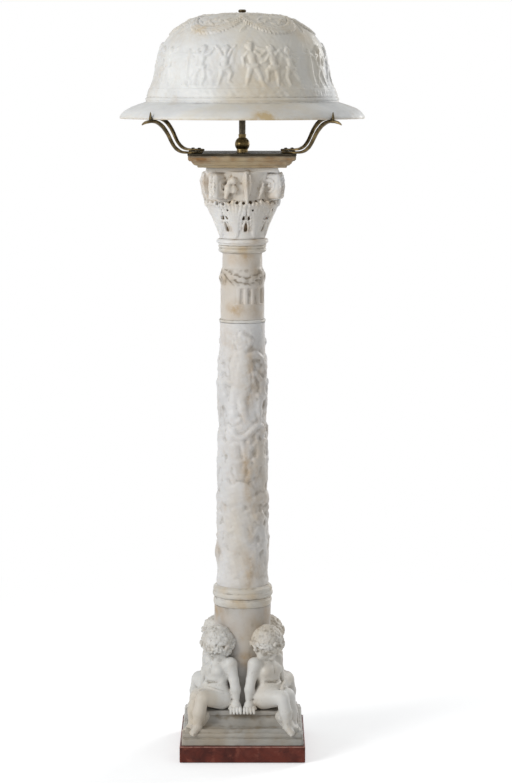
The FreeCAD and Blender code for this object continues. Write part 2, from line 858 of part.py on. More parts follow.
def make_key():
    """The flat key of the switch on its short shaft, on +X."""
    start = holder_r + seat_gap
    shaft = Part.makeCylinder(key_shaft_r, key_shaft_length, vec(start, 0, key_z), vec(1, 0, 0))
    corner = vec(start + key_shaft_length - overrun, -key_paddle_thickness / 2, key_z - key_paddle_height / 2)
    paddle = Part.makeBox(key_paddle_width, key_paddle_thickness, key_paddle_height, corner)
    along_y = [e for e in paddle.Edges if abs(e.tangentAt(e.FirstParameter).y) > math.cos(math.radians(1))]
    paddle = paddle.makeFillet(key_paddle_width / 3, along_y)
    return shaft.fuse(paddle)


def make_bulb_cap():
    """The bulb's threaded metal cap with its contact, drawn as a row of rounded threads."""
    neck_r = bulb_cap_r - tube_wall
    pitch = bulb_cap_height / 7
    edges = [
        line((0, bulb_bottom), (bulb_tip_r, bulb_bottom)),
        line((bulb_tip_r, bulb_bottom), (neck_r, cap_bottom)),
    ]
    low = cap_bottom
    for _ in range(6):
        edges.append(arc((neck_r, low), (bulb_cap_r, low + pitch / 2), (neck_r, low + pitch)))
        low += pitch
    edges += [
        line((neck_r, low), (neck_r, bulb_cap_top)),
        line((neck_r, bulb_cap_top), (0, bulb_cap_top)),
        line((0, bulb_cap_top), (0, bulb_bottom)),
    ]
    return turned(edges)


def globe_outline(inset):
    """The glass outline from the cap's rim to the top of the globe, drawn in by an inset."""
    neck = bulb_neck_r - inset
    globe = bulb_globe_r - inset
    lean = math.radians(35)
    join = (globe * math.cos(lean), globe_centre - globe * math.sin(lean))
    side = (globe * math.cos(lean / 2), globe_centre + globe * math.sin(lean / 2))
    waist = ((neck + join[0]) / 2, (bulb_cap_top + join[1]) / 2)
    edges = [
        curve([(neck, bulb_cap_top), (neck, bulb_cap_top + bulb_neck_r / 3), waist, join]),
        arc(join, side, (0, globe_centre + globe)),
    ]
    return edges, neck


def make_bulb_glass():
    outer, outer_neck = globe_outline(0)
    inner, inner_neck = globe_outline(bulb_wall)
    edges = outer + inner + [
        line((inner_neck, bulb_cap_top), (outer_neck, bulb_cap_top)),
        line((0, globe_centre + bulb_globe_r), (0, globe_centre + bulb_globe_r - bulb_wall)),
    ]
    return turned(Part.__sortEdges__(edges))


# Shade

def make_shade():
    """A stone bell with a flat seat under its brim, a wide brim and a hole in its crown."""
    seat_in = shade_r - brim_flat_width
    brim_top = shade_seat + dome_foot_height
    dome_height = shade_height - dome_foot_height
    outer = [(dome_foot_r * r, brim_top + dome_height * z) for r, z in dome_shares]
    inner_foot_r = dome_foot_r - shade_wall
    inner_foot_z = shade_seat + brim_inner_rise
    inner_height = crown_inside - inner_foot_z
    inner = [(inner_foot_r * r, inner_foot_z + inner_height * z) for r, z in dome_shares]
    brim_width = shade_r - dome_foot_r
    edge_top = shade_seat + brim_edge_height
    brim_rise = brim_top - edge_top
    brim = [(shade_r, edge_top)]
    brim += [(shade_r - brim_width * r, edge_top + brim_rise * z) for r, z in brim_shares]
    crown = (crown_flat_r, crown_top)
    crown_under = (crown_flat_r, crown_inside)
    edges = [
        line((shade_r, shade_seat), (shade_r, edge_top)),
        curve(brim),
        curve(outer + [crown]),
        line(crown, (crown_hole_r, crown_top)),
        line((crown_hole_r, crown_top), (crown_hole_r, crown_inside)),
        line((crown_hole_r, crown_inside), crown_under),
        curve([crown_under] + list(reversed(inner))),
        line(inner[0], (seat_in, shade_seat)),
        line((seat_in, shade_seat), (shade_r, shade_seat)),
    ]
    return turned(edges)


def make_knob():
    foot = crown_top + seat_gap
    ball_bottom = foot + knob_foot_height
    top = foot + knob_height
    middle = (ball_bottom + top) / 2
    shank_end = crown_inside - crown_washer_thickness - crown_nut_height - shank_past_nut
    edges = [
        line((0, shank_end), (knob_shank_r, shank_end)),
        line((knob_shank_r, shank_end), (knob_shank_r, foot)),
        line((knob_shank_r, foot), (knob_foot_r, foot)),
        line((knob_foot_r, foot), (knob_foot_r, ball_bottom)),
        arc((knob_foot_r, ball_bottom), (knob_r, middle), (knob_flat_r, top)),
        line((knob_flat_r, top), (0, top)),
        line((0, top), (0, shank_end)),
    ]
    return turned(edges)


def make_crown_fixings():
    washer_bottom = crown_inside - crown_washer_thickness
    nut_bottom = washer_bottom - crown_nut_height
    bore = knob_shank_r + turning_gap
    parts["crown_washer"] = ring(crown_washer_r, bore, washer_bottom, crown_inside)
    parts["crown_nut"] = hexagon(crown_nut_flats, bore, nut_bottom, crown_nut_height)


# Assembly

def build():
    parts["felt_sheet"] = make_felt()
    parts["marble_foot"] = make_foot()
    parts["cable_gland"] = make_gland()
    make_foot_hardware()
    parts["plinth"] = make_plinth()
    make_figures()
    parts["lower_drum"] = bored(cylinder(drum_r, plinth_top, drum_top), plinth_top, drum_top)
    parts["drum_ring"] = round_ring(drum_ring_r, drum_top, drum_ring_top, ring_edge_r)
    parts["shaft_ring"] = round_ring(shaft_ring_r, drum_ring_top, shaft_ring_top, ring_edge_r)
    parts["carved_shaft"] = make_shaft()
    bead_edge_r = bead_ring_height / 2 - carving_gap
    parts["bead_ring"] = round_ring(bead_ring_r, shaft_top, bead_ring_top, bead_edge_r)
    parts["fluted_drum"] = make_flute_drum()
    parts["neck_ring"] = round_ring(neck_ring_r, flute_drum_top, neck_ring_top, ring_edge_r)
    parts["capital_ring"] = round_ring(capital_ring_r, neck_ring_top, capital_ring_top, ring_edge_r)
    parts["capital"] = make_capital()
    parts["abacus_slab"] = make_abacus()
    parts["top_plate"] = make_plate()
    make_arms()
    parts["arm_screws"] = make_arm_screws()
    parts["clamp_nut"] = make_clamp_nut()
    parts["stem_knop"] = make_knop()
    parts["stem_tube"] = make_stem()
    parts["holder_cup"] = make_cup()
    parts["holder_shell"] = make_holder_shell()
    parts["holder_core"] = make_holder_core()
    liner_r = liner_bore_r + liner_wall
    parts["holder_liner"] = ring(liner_r, liner_bore_r, core_top, holder_top)
    ring_bottom = holder_top - holder_ring_height
    parts["holder_ring"] = ring(holder_ring_r, holder_r + liner_gap, ring_bottom, holder_top)
    parts["switch_key"] = make_key()
    parts["bulb_cap"] = make_bulb_cap()
    parts["bulb_glass"] = make_bulb_glass()
    parts["shade"] = make_shade()
    parts["crown_knob"] = make_knob()
    make_crown_fixings()


def export():
    os.makedirs("parts", exist_ok=True)
    for name, shape in parts.items():
        solids = shape.Solids
        good = all(s.isValid() and s.Volume > 0 for s in solids)
        print(f"{name}: {len(solids)} solid(s), {sum(s.Volume for s in solids) / 1000:.1f} cm3, valid {good}")
        single = solids[0] if len(solids) == 1 else Part.makeCompound(solids)
        single.exportStep(f"parts/{name}.step")


build()
export()
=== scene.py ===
import bpy
import math
import numpy as np
import openvdb
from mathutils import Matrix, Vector


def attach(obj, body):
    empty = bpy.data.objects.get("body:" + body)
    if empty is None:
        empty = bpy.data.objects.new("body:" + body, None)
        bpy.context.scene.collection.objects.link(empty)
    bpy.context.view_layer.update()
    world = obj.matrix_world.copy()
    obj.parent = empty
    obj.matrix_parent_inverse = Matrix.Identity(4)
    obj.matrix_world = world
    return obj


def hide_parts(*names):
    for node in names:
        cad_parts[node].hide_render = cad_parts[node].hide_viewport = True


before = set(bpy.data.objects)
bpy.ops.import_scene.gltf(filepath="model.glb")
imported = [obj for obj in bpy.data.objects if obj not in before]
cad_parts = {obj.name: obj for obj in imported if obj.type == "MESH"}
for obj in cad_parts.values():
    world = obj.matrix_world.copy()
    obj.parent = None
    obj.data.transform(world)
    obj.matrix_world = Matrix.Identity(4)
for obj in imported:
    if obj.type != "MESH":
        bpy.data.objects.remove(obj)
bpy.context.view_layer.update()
MM = 0.001
PI = math.pi
CELL = 1.6  # grid of the sculpted stones, in mm
CORNERS = [PI / 4 + k * PI / 2 for k in range(4)]


# Numbers and noise

def lerp(a, b, t):
    return a + (b - a) * t


def ramp(x, low, high):
    """0 below low, 1 above high, smooth between."""
    t = np.clip((x - low) / (high - low), 0, 1)
    return t * t * (3 - 2 * t)


def wobble(p, size, seed, waves=9):
    """Smooth noise of about -1 to 1 at points p, with features of about the given size."""
    rng = np.random.default_rng(seed)
    total = np.zeros(p.shape[:-1])
    for _ in range(waves):
        d = rng.normal(size=p.shape[-1])
        d /= np.linalg.norm(d)
        f = rng.uniform(0.6, 1.7)
        total += np.sin(p @ d * (2 * PI * f / size) + rng.uniform(0, 2 * PI))
    return total / math.sqrt(waves)


def spline(points, step):
    """Points about a step apart on a smooth line through the given ones."""
    p = np.array(points, float)
    p = np.vstack([2 * p[0] - p[1], p, 2 * p[-1] - p[-2]])
    out = []
    for i in range(1, len(p) - 2):
        n = max(1, int(round(np.linalg.norm(p[i + 1] - p[i]) / step)))
        t = np.arange(n)[:, None] / n
        a, b, c, d = p[i - 1], p[i], p[i + 1], p[i + 2]
        out.append(0.5 * (2 * b + (c - a) * t + (2 * a - 5 * b + 4 * c - d) * t**2 + (3 * b - a - 3 * c + d) * t**3))
    return np.vstack(out + [p[-2][None]])


def soft(points, radius, steps=3):
    """A polyline whose corners are rounded off by up to the radius."""
    p = [np.array(q, float) for q in points]
    out = [p[0]]
    for a, b, c in zip(p, p[1:], p[2:]):
        la, lc = np.linalg.norm(a - b), np.linalg.norm(c - b)
        ra, rc = min(radius, la * 0.45), min(radius, lc * 0.45)
        s, e = b + (a - b) / la * ra, b + (c - b) / lc * rc
        for i in range(steps + 1):
            t = i / steps
            out.append((1 - t) ** 2 * s + 2 * t * (1 - t) * b + t * t * e)
    return np.array(out + [p[-1]])


def dense(points, step):
    """The same polyline with no run longer than the step."""
    p = np.array(points, float)
    out = [p[:1]]
    for a, b in zip(p, p[1:]):
        n = max(1, int(math.ceil(np.linalg.norm(b - a) / step)))
        out.append(a + (b - a) * (np.arange(1, n + 1)[:, None] / n))
    return np.vstack(out)


# Meshes

def piece(name, verts, quads, tris=(), body="column", node=None, slot=None, mat=None, sharp=None, **layers):
    """A mesh object in metres that rides on a body and takes the place of a CAD node. Layers steer its material."""
    verts = np.asarray(verts, np.float32)
    quads = np.asarray(quads, np.int32).reshape(-1, 4)
    tris = np.asarray(tris, np.int32).reshape(-1, 3)
    me = bpy.data.meshes.new(name)
    me.vertices.add(len(verts))
    me.vertices.foreach_set("co", verts.ravel())
    loops = np.concatenate([quads.ravel(), tris.ravel()])
    me.loops.add(len(loops))
    me.loops.foreach_set("vertex_index", loops)
    starts = np.concatenate([np.arange(len(quads)) * 4, len(quads) * 4 + np.arange(len(tris)) * 3])
    me.polygons.add(len(starts))
    me.polygons.foreach_set("loop_start", starts.astype(np.int32))
    me.polygons.foreach_set("use_smooth", np.ones(len(starts), bool))
    me.update(calc_edges=True)
    me.validate()
    if sharp:
        me.set_sharp_from_angle(angle=math.radians(sharp))
    for key, values in layers.items():
        layer = me.attributes.new(key, "FLOAT", "POINT")
        layer.data.foreach_set("value", np.asarray(values, np.float32).ravel())
    ob = bpy.data.objects.new(name, me)
    bpy.context.scene.collection.objects.link(ob)
    me.materials.append(mat)
    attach(ob, body)
    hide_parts(node)
    return ob


def grid_faces(rows, cols):
    """Quads of a grid of points given row by row, each row a closed ring."""
    r, c = np.meshgrid(np.arange(rows - 1), np.arange(cols), indexing="ij")
    r, c = r.ravel(), c.ravel()
    c1 = (c + 1) % cols
    return np.stack([r * cols + c, r * cols + c1, (r + 1) * cols + c1, (r + 1) * cols + c], 1)


def fan(first, cols, centre, flip=False):
    """Triangles from a ring of points to a centre point."""
    ring, nxt = first + np.arange(cols), first + (np.arange(cols) + 1) % cols
    return np.stack([*((nxt, ring) if flip else (ring, nxt)), np.full(cols, centre)], 1)


def normals(p):
    """Outward normals of an outline (r, z) that runs upwards."""
    t = np.gradient(p, axis=0)
    n = np.stack([t[:, 1], -t[:, 0]], 1)
    return n / np.maximum(np.linalg.norm(n, axis=1, keepdims=True), 1e-9)


def turn(points, cols, h=None):
    """Points of an outline (r, z) turned about Z, with heights h along the outline's normal."""
    p = np.asarray(points, float)
    A, R = np.meshgrid(np.arange(cols) * 2 * PI / cols, p[:, 0])
    Z = np.repeat(p[:, 1:], cols, 1)
    if h is not None:
        n, h = normals(p), np.reshape(h, R.shape)
        R = R + h * n[:, :1]
        Z = Z + h * n[:, 1:]
    return np.stack([R * np.cos(A), R * np.sin(A), Z], -1).reshape(-1, 3)


def squared(points, corner, per_side, push):
    """A closed square moulding: the outline (half width, z) run round a square with slightly rounded corners."""
    base = np.repeat(np.arange(4) * PI / 2, per_side)
    t = np.array([-1 + 2 * i / per_side for i in range(per_side)] * 4)
    p = np.asarray(points, float)
    rows = []
    for w, z in p:
        c = min(corner, w * 0.5)
        # a square of half width w with corners of radius c, walked at an even pace
        s = t * w
        x = np.full_like(s, w)
        y = s.copy()
        over = np.abs(s) > w - c
        ang = (np.abs(s[over]) - (w - c)) / c * PI / 4
        x[over] = w - c + c * np.cos(ang)
        y[over] = np.sign(s[over]) * (w - c + c * np.sin(ang))
        rows.append(np.stack([x * np.cos(base) - y * np.sin(base), x * np.sin(base) + y * np.cos(base),
                              np.full_like(s, z)], 1))
    v = np.stack(rows)
    n, h = normals(p), push(v)
    d = v[..., :2] / np.maximum(np.linalg.norm(v[..., :2], axis=-1, keepdims=True), 1e-9)
    v[..., :2] += d * (h * n[:, :1])[..., None]
    v[..., 2] += h * n[:, 1:]
    cols = 4 * per_side
    last = (len(p) - 1) * cols
    count = len(p) * cols
    v = np.vstack([v.reshape(-1, 3), [[0, 0, p[0, 1]], [0, 0, p[-1, 1]]]]).astype(np.float32)
    return v, grid_faces(len(p), cols), np.vstack([fan(0, cols, count, True), fan(last, cols, count + 1)])


# Soft-edged solids on a grid of distances

class Clay:
    """A block of distances to a surface, to which forms are added or cut with soft seams. Lengths in mm."""

    FAR = 8.0

    def __init__(self, low, high):
        self.low = np.array(low, float)
        self.n = (np.ceil((np.array(high) - self.low) / CELL) + 1).astype(int)
        self.d = np.full(self.n, self.FAR, np.float32)

    def window(self, low, high):
        i0 = np.clip(np.floor((np.array(low) - self.low) / CELL).astype(int), 0, self.n)
        i1 = np.clip(np.ceil((np.array(high) - self.low) / CELL).astype(int) + 1, 0, self.n)
        axes = [self.low[k] + CELL * np.arange(i0[k], i1[k]) for k in range(3)]
        grid = np.stack(np.meshgrid(*axes, indexing="ij"), -1)
        return tuple(slice(a, b) for a, b in zip(i0, i1)), grid

    def merge(self, low, high, fn, blend=3.0, cut=False):
        """Adds or cuts the form whose distances are fn(points), with a seam as wide as blend."""
        pad = blend + 2 * CELL
        where, p = self.window(np.array(low) - pad, np.array(high) + pad)
        if not p.size:
            return
        a = self.d[where]
        b = fn(p).astype(np.float32)
        if cut:
            b = -b
        h = np.maximum(blend - np.abs(a - b), 0) / blend
        self.d[where] = np.maximum(a, b) + h * h * blend / 4 if cut else np.minimum(a, b) - h * h * blend / 4

    def egg(self, c, r, axes=None, blend=3.0, cut=False):
        """An ellipsoid with radii r along axes, the rows of a rotation."""
        c, r = np.array(c, float), np.array(r, float)
        reach = r.max()
        m = np.eye(3) if axes is None else np.array(axes)

        def fn(p):
            q = (p - c) @ m.T
            k0 = np.linalg.norm(q / r, axis=-1)
            k1 = np.linalg.norm(q / r**2, axis=-1)
            return k0 * (k0 - 1) / np.maximum(k1, 1e-6)

        self.merge(c - reach, c + reach, fn, blend, cut)

    def limb(self, a, b, ra, rb, blend=3.0, cut=False):
        """A tapered capsule."""
        a, b = np.array(a, float), np.array(b, float)
        ab = b - a
        reach = max(ra, rb)

        def fn(p):
            t = np.clip((p - a) @ ab / (ab @ ab), 0, 1)
            return np.linalg.norm(p - a - t[..., None] * ab, axis=-1) - (ra + (rb - ra) * t)

        self.merge(np.minimum(a, b) - reach, np.maximum(a, b) + reach, fn, blend, cut)

    def path(self, points, radii, blend=3.0, cut=False):
        for a, b, ra, rb in zip(points, points[1:], radii, radii[1:]):
            self.limb(a, b, ra, rb, blend, cut)

    def mesh(self):
        g = openvdb.FloatGrid(background=self.FAR)
        g.copyFromArray(np.clip(self.d, -self.FAR, self.FAR))
        p, q = g.convertToQuads(isovalue=0)
        return p.astype(float) * CELL + self.low, q.astype(np.int32)

    def hollow(self, verts, reach):
        """How deep each point sits in a hollow, 0 to 1, from distances averaged over the reach."""
        d = np.clip(self.d, -reach, reach)
        n = max(1, int(round(reach / CELL / 2)))
        for _ in range(2):
            for ax in range(3):
                pad = [(n + 1, n) if k == ax else (0, 0) for k in range(3)]
                c = np.cumsum(np.pad(d, pad, mode="edge"), axis=ax, dtype=np.float64)
                c = np.moveaxis(c, ax, 0)
                d = np.moveaxis((c[2 * n + 1:] - c[: -(2 * n + 1)]) / (2 * n + 1), 0, ax).astype(np.float32)
        i = np.clip(np.round((verts - self.low) / CELL).astype(int), 0, np.array(d.shape) - 1)
        return -d[i[:, 0], i[:, 1], i[:, 2]] / reach


# Reliefs on a turned surface

def from_front(A):
    """Angles about Z as angles from the front, positive to the viewer's right."""
    return (A + PI / 2 + PI) % (2 * PI) - PI


def around(cols, V, radius):
    """Points on a plain cylinder, at the heights V."""
    A = np.arange(cols) * 2 * PI / cols
    return np.stack([np.cos(A)[None] * radius + 0 * V, np.sin(A)[None] * radius + 0 * V, V], -1)


class Relief:
    """Heights in mm on a turned stone, over points (across, up) in mm.

    Across is an angle from the front times a reference radius, so it wraps round. A degree is d mm across.
    """

    def __init__(self, cols, up, ref):
        self.phi = from_front(np.arange(cols) * 2 * PI / cols)
        self.U, self.V = np.meshgrid(self.phi * ref, up)
        self.around, self.d = 2 * PI * ref, PI / 180 * ref
        self.h = np.zeros_like(self.U)
        self.degrees = np.degrees(self.phi)[None] + 0 * self.V

    def near(self, u, v, reach):
        du = (self.U - u + self.around / 2) % self.around - self.around / 2
        return du, self.V - v, (np.abs(du) < reach) & (np.abs(self.V - v) < reach)

    def lay(self, near, ok, h, seam):
        """Lays heights h over the ok ones of the near points, with a soft seam."""
        mask = np.zeros_like(near)
        mask[near] = ok
        a = self.h[mask]
        k = np.maximum(seam - np.abs(a - h), 0) / seam
        self.h[mask] = np.maximum(a, h) + k * k * seam / 4

    def egg(self, u, v, ru, rv, height, turn=0.0, base=0.0, seam=0.8):
        du, dv, m = self.near(u, v, max(ru, rv))
        c, s = math.cos(turn), math.sin(turn)
        x, y = du[m] * c + dv[m] * s, -du[m] * s + dv[m] * c
        d = (x / ru) ** 2 + (y / rv) ** 2
        ok = d < 1
        self.lay(m, ok, base + height * np.sqrt(1 - d[ok]), seam)

    def along(self, a, b, reach):
        """The points near a line, as a mask, their places along it (0 to 1) and their distances from it."""
        bx, by = b[0] - a[0], b[1] - a[1]
        length2 = bx * bx + by * by + 1e-9
        du, dv, m = self.near(a[0], a[1], math.sqrt(length2) + reach)
        x, y = du[m], dv[m]
        t = np.clip((x * bx + y * by) / length2, 0, 1)
        return m, t, np.hypot(x - t * bx, y - t * by)

    def limb(self, a, b, ra, rb, height, base=0.0, seam=0.8):
        m, t, d = self.along(a, b, max(ra, rb))
        r = ra + (rb - ra) * t
        d = d / r
        ok = d < 1
        self.lay(m, ok, base + height * (r[ok] / max(ra, rb)) * np.sqrt(1 - d[ok] ** 2), seam)

    def path(self, points, radii, height, base=0.0, seam=0.8):
        for a, b, ra, rb in zip(points, points[1:], radii, radii[1:]):
            self.limb(a, b, ra, rb, height, base, seam)

    def groove(self, points, width, depth):
        for a, b in zip(points, points[1:]):
            m, _, d = self.along(a, b, width)
            d = d / width
            self.h[m] -= depth * np.exp(-4 * d * d) * (d < 1.6)

    def cloth(self, points, width, height, folds, base=0.0, seam=0.8):
        """A band of folded cloth along a line, with ridges that run along it."""
        p = np.array(points, float)
        du0 = (self.U - p[0, 0] + self.around / 2) % self.around - self.around / 2
        m = (du0 > (p[:, 0] - p[0, 0]).min() - width) & (du0 < (p[:, 0] - p[0, 0]).max() + width)
        m &= (self.V > p[:, 1].min() - width) & (self.V < p[:, 1].max() + width)
        x, y = du0[m] + p[0, 0], self.V[m]
        best = np.full(x.shape, 1e9)
        side = np.zeros_like(best)
        along = np.zeros_like(best)
        total = 0.0
        for a, b in zip(p, p[1:]):
            d = b - a
            length = np.linalg.norm(d)
            t = np.clip(((x - a[0]) * d[0] + (y - a[1]) * d[1]) / length**2, 0, 1)
            ex, ey = x - a[0] - t * d[0], y - a[1] - t * d[1]
            dist = np.hypot(ex, ey)
            closer = dist < best
            best = np.where(closer, dist, best)
            side = np.where(closer, np.sign(d[0] * ey - d[1] * ex) * dist, side)
            along = np.where(closer, total + t * length, along)
            total += length
        s = along / total
        w = width * (0.55 + 0.45 * np.sin(PI * np.clip(s, 0.05, 0.95)) + 0.12 * np.sin(s * 17.0))
        q = side / w
        ok = np.abs(q) < 1
        ridge = 0.5 + 0.5 * np.cos(q[ok] * PI * folds + 0.8 * np.sin(s[ok] * 9.0))
        self.lay(m, ok, base + height * np.sqrt(1 - q[ok] ** 2) * (0.45 + 0.55 * ridge), seam)

    def drape(self, c, points, width, height, folds, step=8):
        """Cloth along points (degrees from c, up)."""
        self.cloth(spline([((c + a) * self.d, y) for a, y in points], step), width, height, folds)

    def wear(self, times=1, upright=True):
        """Rubs the carving soft."""
        for _ in range(times):
            self.h = (self.h + np.roll(self.h, 1, 1) + np.roll(self.h, -1, 1)) / 3
            if upright:
                self.h[1:-1] = (self.h[1:-1] + self.h[2:] + self.h[:-2]) / 3


def hollow(h, reach=4):
    """How deep each point of h sits below its surroundings, in mm, from box averages."""
    out, w = h, 2 * reach + 1
    for _ in range(2):
        c = np.cumsum(np.concatenate([out[:, -reach - 1:], out, out[:, :reach]], 1), 1)
        out = (c[:, w:] - c[:, :-w]) / w
        c = np.cumsum(np.pad(out, ((reach + 1, reach), (0, 0)), mode="edge"), 0)
        out = (c[w:] - c[:-w]) / w
    return out - h


# Materials

class Mat:
    """A short way to write node materials. Coordinates are metres in the lamp's frame."""

    def __init__(self, name, rough=0.5, metal=0.0, spec=0.5, ior=1.5):
        self.m = bpy.data.materials.new(name)
        self.m.use_nodes = True
        self.t = self.m.node_tree
        self.p = self.t.nodes["Principled BSDF"]
        self.set(Roughness=rough, Metallic=metal, Specular_IOR_Level=spec, IOR=ior)
        self.co = self.t.nodes.new("ShaderNodeTexCoord").outputs["Object"]

    def set(self, **values):
        for k, v in values.items():
            self.p.inputs[k.replace("_", " ")].default_value = v

    def node(self, kind, **inputs):
        n = self.t.nodes.new("ShaderNode" + kind)
        for k, v in inputs.items():
            self.put(n.inputs[int(k[1:])] if k[0] == "i" and k[1:].isdigit() else n.inputs[k.replace("_", " ")], v)
        return n

    def put(self, socket, v):
        if isinstance(v, bpy.types.NodeSocket):
            self.t.links.new(v, socket)
        elif isinstance(v, tuple) and len(v) == 3 and socket.type == "RGBA":
            socket.default_value = (*v, 1)
        else:
            socket.default_value = v

    def moved(self, scale=(1, 1, 1), turn=(0, 0, 0), shift=(0, 0, 0)):
        return self.node("Mapping", Vector=self.co, Scale=scale, Rotation=turn, Location=shift).outputs[0]

    def noise(self, scale, detail=4, rough=0.55, warp=0.0, co=None):
        n = self.node("TexNoise", Vector=co or self.co, Scale=scale, Detail=detail, Roughness=rough, Distortion=warp)
        return n.outputs["Fac"]

    def spots(self, scale):
        return self.node("TexVoronoi", Vector=self.co, Scale=scale).outputs["Distance"]

    def veins(self, scale, warp, detail, turn):
        return self.node("TexWave", Vector=self.moved(turn=turn), Scale=scale, Distortion=warp, Detail=detail)

    def band(self, v, low, high, a=0.0, b=1.0):
        """a below low, b above high, smooth between."""
        n = self.node("MapRange", Value=v)
        n.interpolation_type = "SMOOTHSTEP"
        for i, x in enumerate((low, high, a, b)):
            n.inputs[i + 1].default_value = x
        return n.outputs[0]

    def math(self, op, a, b=0.0):
        n = self.node("Math", i0=a, i1=b)
        n.operation = op
        return n.outputs[0]

    def mix(self, fac, a, b):
        n = self.t.nodes.new("ShaderNodeMix")
        n.data_type = "RGBA"
        for i, v in ((0, fac), (6, a), (7, b)):
            self.put(n.inputs[i], v)
        return n.outputs[2]

    def attr(self, name):
        n = self.t.nodes.new("ShaderNodeAttribute")
        n.attribute_name = name
        return n.outputs["Fac"]

    def bump(self, height, distance, strength=1.0):
        normal = self.p.inputs["Normal"]
        last = normal.links[0].from_socket if normal.is_linked else None
        n = self.node("Bump", Height=height, Distance=distance, Strength=strength)
        if last:
            self.put(n.inputs["Normal"], last)
        self.put(normal, n.outputs[0])

    def colour(self, v):
        self.put(self.p.inputs["Base Color"], v)

    def rough(self, scale, detail, rough, low, high):
        """Roughness from low to high in cloudy patches."""
        self.put(self.p.inputs["Roughness"], self.band(self.noise(scale, detail, rough), 0.3, 0.7, low, high))


def stone(name, pale, grey, warm, stain, stain_amount=0.5, dirt=(0.20, 0.16, 0.11)):
    """Alabaster: cloudy pale stone with warm stains, darkening from a point layer that holds dirt and painted shade in
    the hollows, and a slightly waxy skin.
    """
    m = Mat("stone_" + name, 0.5, spec=0.4, ior=1.52)
    cloud = m.noise(9.0, 5, 0.6, 0.4)
    base = m.mix(m.band(cloud, 0.36, 0.66), pale, grey)
    drift = m.noise(4.3, 3, 0.5, 0.8, m.moved((1, 1, 0.6), shift=(3.1, 1.7, 0.4)))
    base = m.mix(m.band(drift, 0.44, 0.68, 0, 0.75), base, warm)
    blot = m.band(m.noise(14.0, 5, 0.65, 0.6, m.moved(shift=(0.7, 5.2, 2.2))), 0.53, 0.74)
    base = m.mix(m.math("MULTIPLY", blot, stain_amount), base, stain)
    mark = m.math("MULTIPLY", m.attr("stain"), m.band(m.noise(46.0, 4, 0.7), 0.3, 0.62, 0.35, 1.0))
    base = m.mix(m.math("MINIMUM", mark, 1.0), base, stain)
    vein = m.veins(2.6, 13.0, 4.0, (0.5, 0.3, 0))
    vein.inputs["Detail Scale"].default_value = 1.6
    base = m.mix(m.band(vein.outputs["Fac"], 0.0, 0.09, 0.24, 0.0), base, grey)
    fleck = m.band(m.spots(210.0), 0.05, 0.16, 0.28, 0.0)
    base = m.mix(m.math("MULTIPLY", fleck, m.band(m.noise(30.0), 0.5, 0.7)), base, stain)
    # the point layer, with patchy noise, darkens the stone towards the dirt colour: real dirt and painted shade
    shade_and_grime = m.math("ADD", m.attr("dirt"), m.band(m.noise(60.0, 4, 0.7), 0.35, 0.75, -0.12, 0.12))
    base = m.mix(m.math("MULTIPLY", m.band(shade_and_grime, 0.1, 0.85), 0.85), base, dirt)
    m.colour(base)
    m.rough(38.0, 4, 0.6, 0.42, 0.62)
    m.bump(m.noise(420.0, 4, 0.7), 0.0004, 0.5)
    m.bump(m.noise(90.0, 3, 0.6, 0.3), 0.0012, 0.35)
    m.set(Subsurface_Weight=0.12, Subsurface_Radius=(1.0, 0.85, 0.65), Subsurface_Scale=0.008)
    return m.m


def brass(name, dark, mid, bright, rough=(0.3, 0.55), wear=0.4):
    """Aged brass: dark film with rubbed patches and fine scratches; point layers add painted highlights with wear, and
    dirt with painted shade.
    """
    m = Mat("brass_" + name, 0.4, 1.0)
    base = m.mix(m.band(m.noise(28.0, 5, 0.65, 0.3), 0.35, 0.68), dark, mid)
    # rubbed wear, and painted highlights where the point layer asks for them
    rub = m.math("ADD", m.attr("rub"), m.band(m.noise(75.0, 4, 0.6), 0.52, 0.75, 0, wear))
    base = m.mix(m.math("MINIMUM", rub, 1.0), base, bright)
    base = m.mix(m.band(m.spots(330.0), 0.06, 0.2, 0.55, 0.0), base, dark)
    base = m.mix(m.math("MULTIPLY", m.band(m.attr("dirt"), 0.1, 0.9), 0.8), base, (0.02, 0.017, 0.012))
    m.colour(base)
    m.rough(55.0, 4, 0.6, *rough)
    m.bump(m.noise(500.0, 3, 0.6), 0.0002, 0.4)
    m.bump(m.noise(60.0, 3, 0.5, 0.5), 0.0006, 0.3)
    return m.m


def red_marble():
    """Dark red marble with a paler upper edge: rubbed wear and a painted highlight along the arris."""
    m = Mat("red_marble", 0.4, spec=0.22)
    cloud = m.noise(16.0, 6, 0.65, 0.7)
    base = m.mix(m.band(cloud, 0.38, 0.62), (0.060, 0.012, 0.008), (0.125, 0.026, 0.016))
    patch = m.band(m.noise(38.0, 5, 0.7, 0.4, m.moved(shift=(2, 7, 1))), 0.52, 0.68)
    base = m.mix(patch, base, (0.165, 0.046, 0.030))
    dark = m.band(m.noise(24.0, 5, 0.7, 1.2, m.moved(shift=(5, 1, 9))), 0.55, 0.72)
    base = m.mix(m.math("MULTIPLY", dark, 0.8), base, (0.028, 0.009, 0.008))
    vein = m.veins(5.0, 22.0, 5.0, (0.9, 0.4, 0.2))
    base = m.mix(m.band(vein.outputs["Fac"], 0.0, 0.05, 0.06, 0.0), base, (0.20, 0.075, 0.05))
    # a paler band along the top edge, broken by noise: painted highlight on the arris, and wear
    z = m.node("SeparateXYZ", i0=m.co).outputs["Z"]
    edge = m.math("MULTIPLY", m.band(z, 0.0385, 0.0398), m.band(z, 0.0410, 0.0417, 1.0, 0.0))
    worn = m.math("MULTIPLY", edge, m.band(m.noise(110.0, 4, 0.7), 0.3, 0.6, 0.3, 0.9))
    base = m.mix(worn, base, (0.38, 0.20, 0.16))
    m.colour(base)
    m.rough(70.0, 4, 0.6, 0.34, 0.58)
    m.bump(m.noise(300.0, 3, 0.6), 0.0002, 0.3)
    return m.m


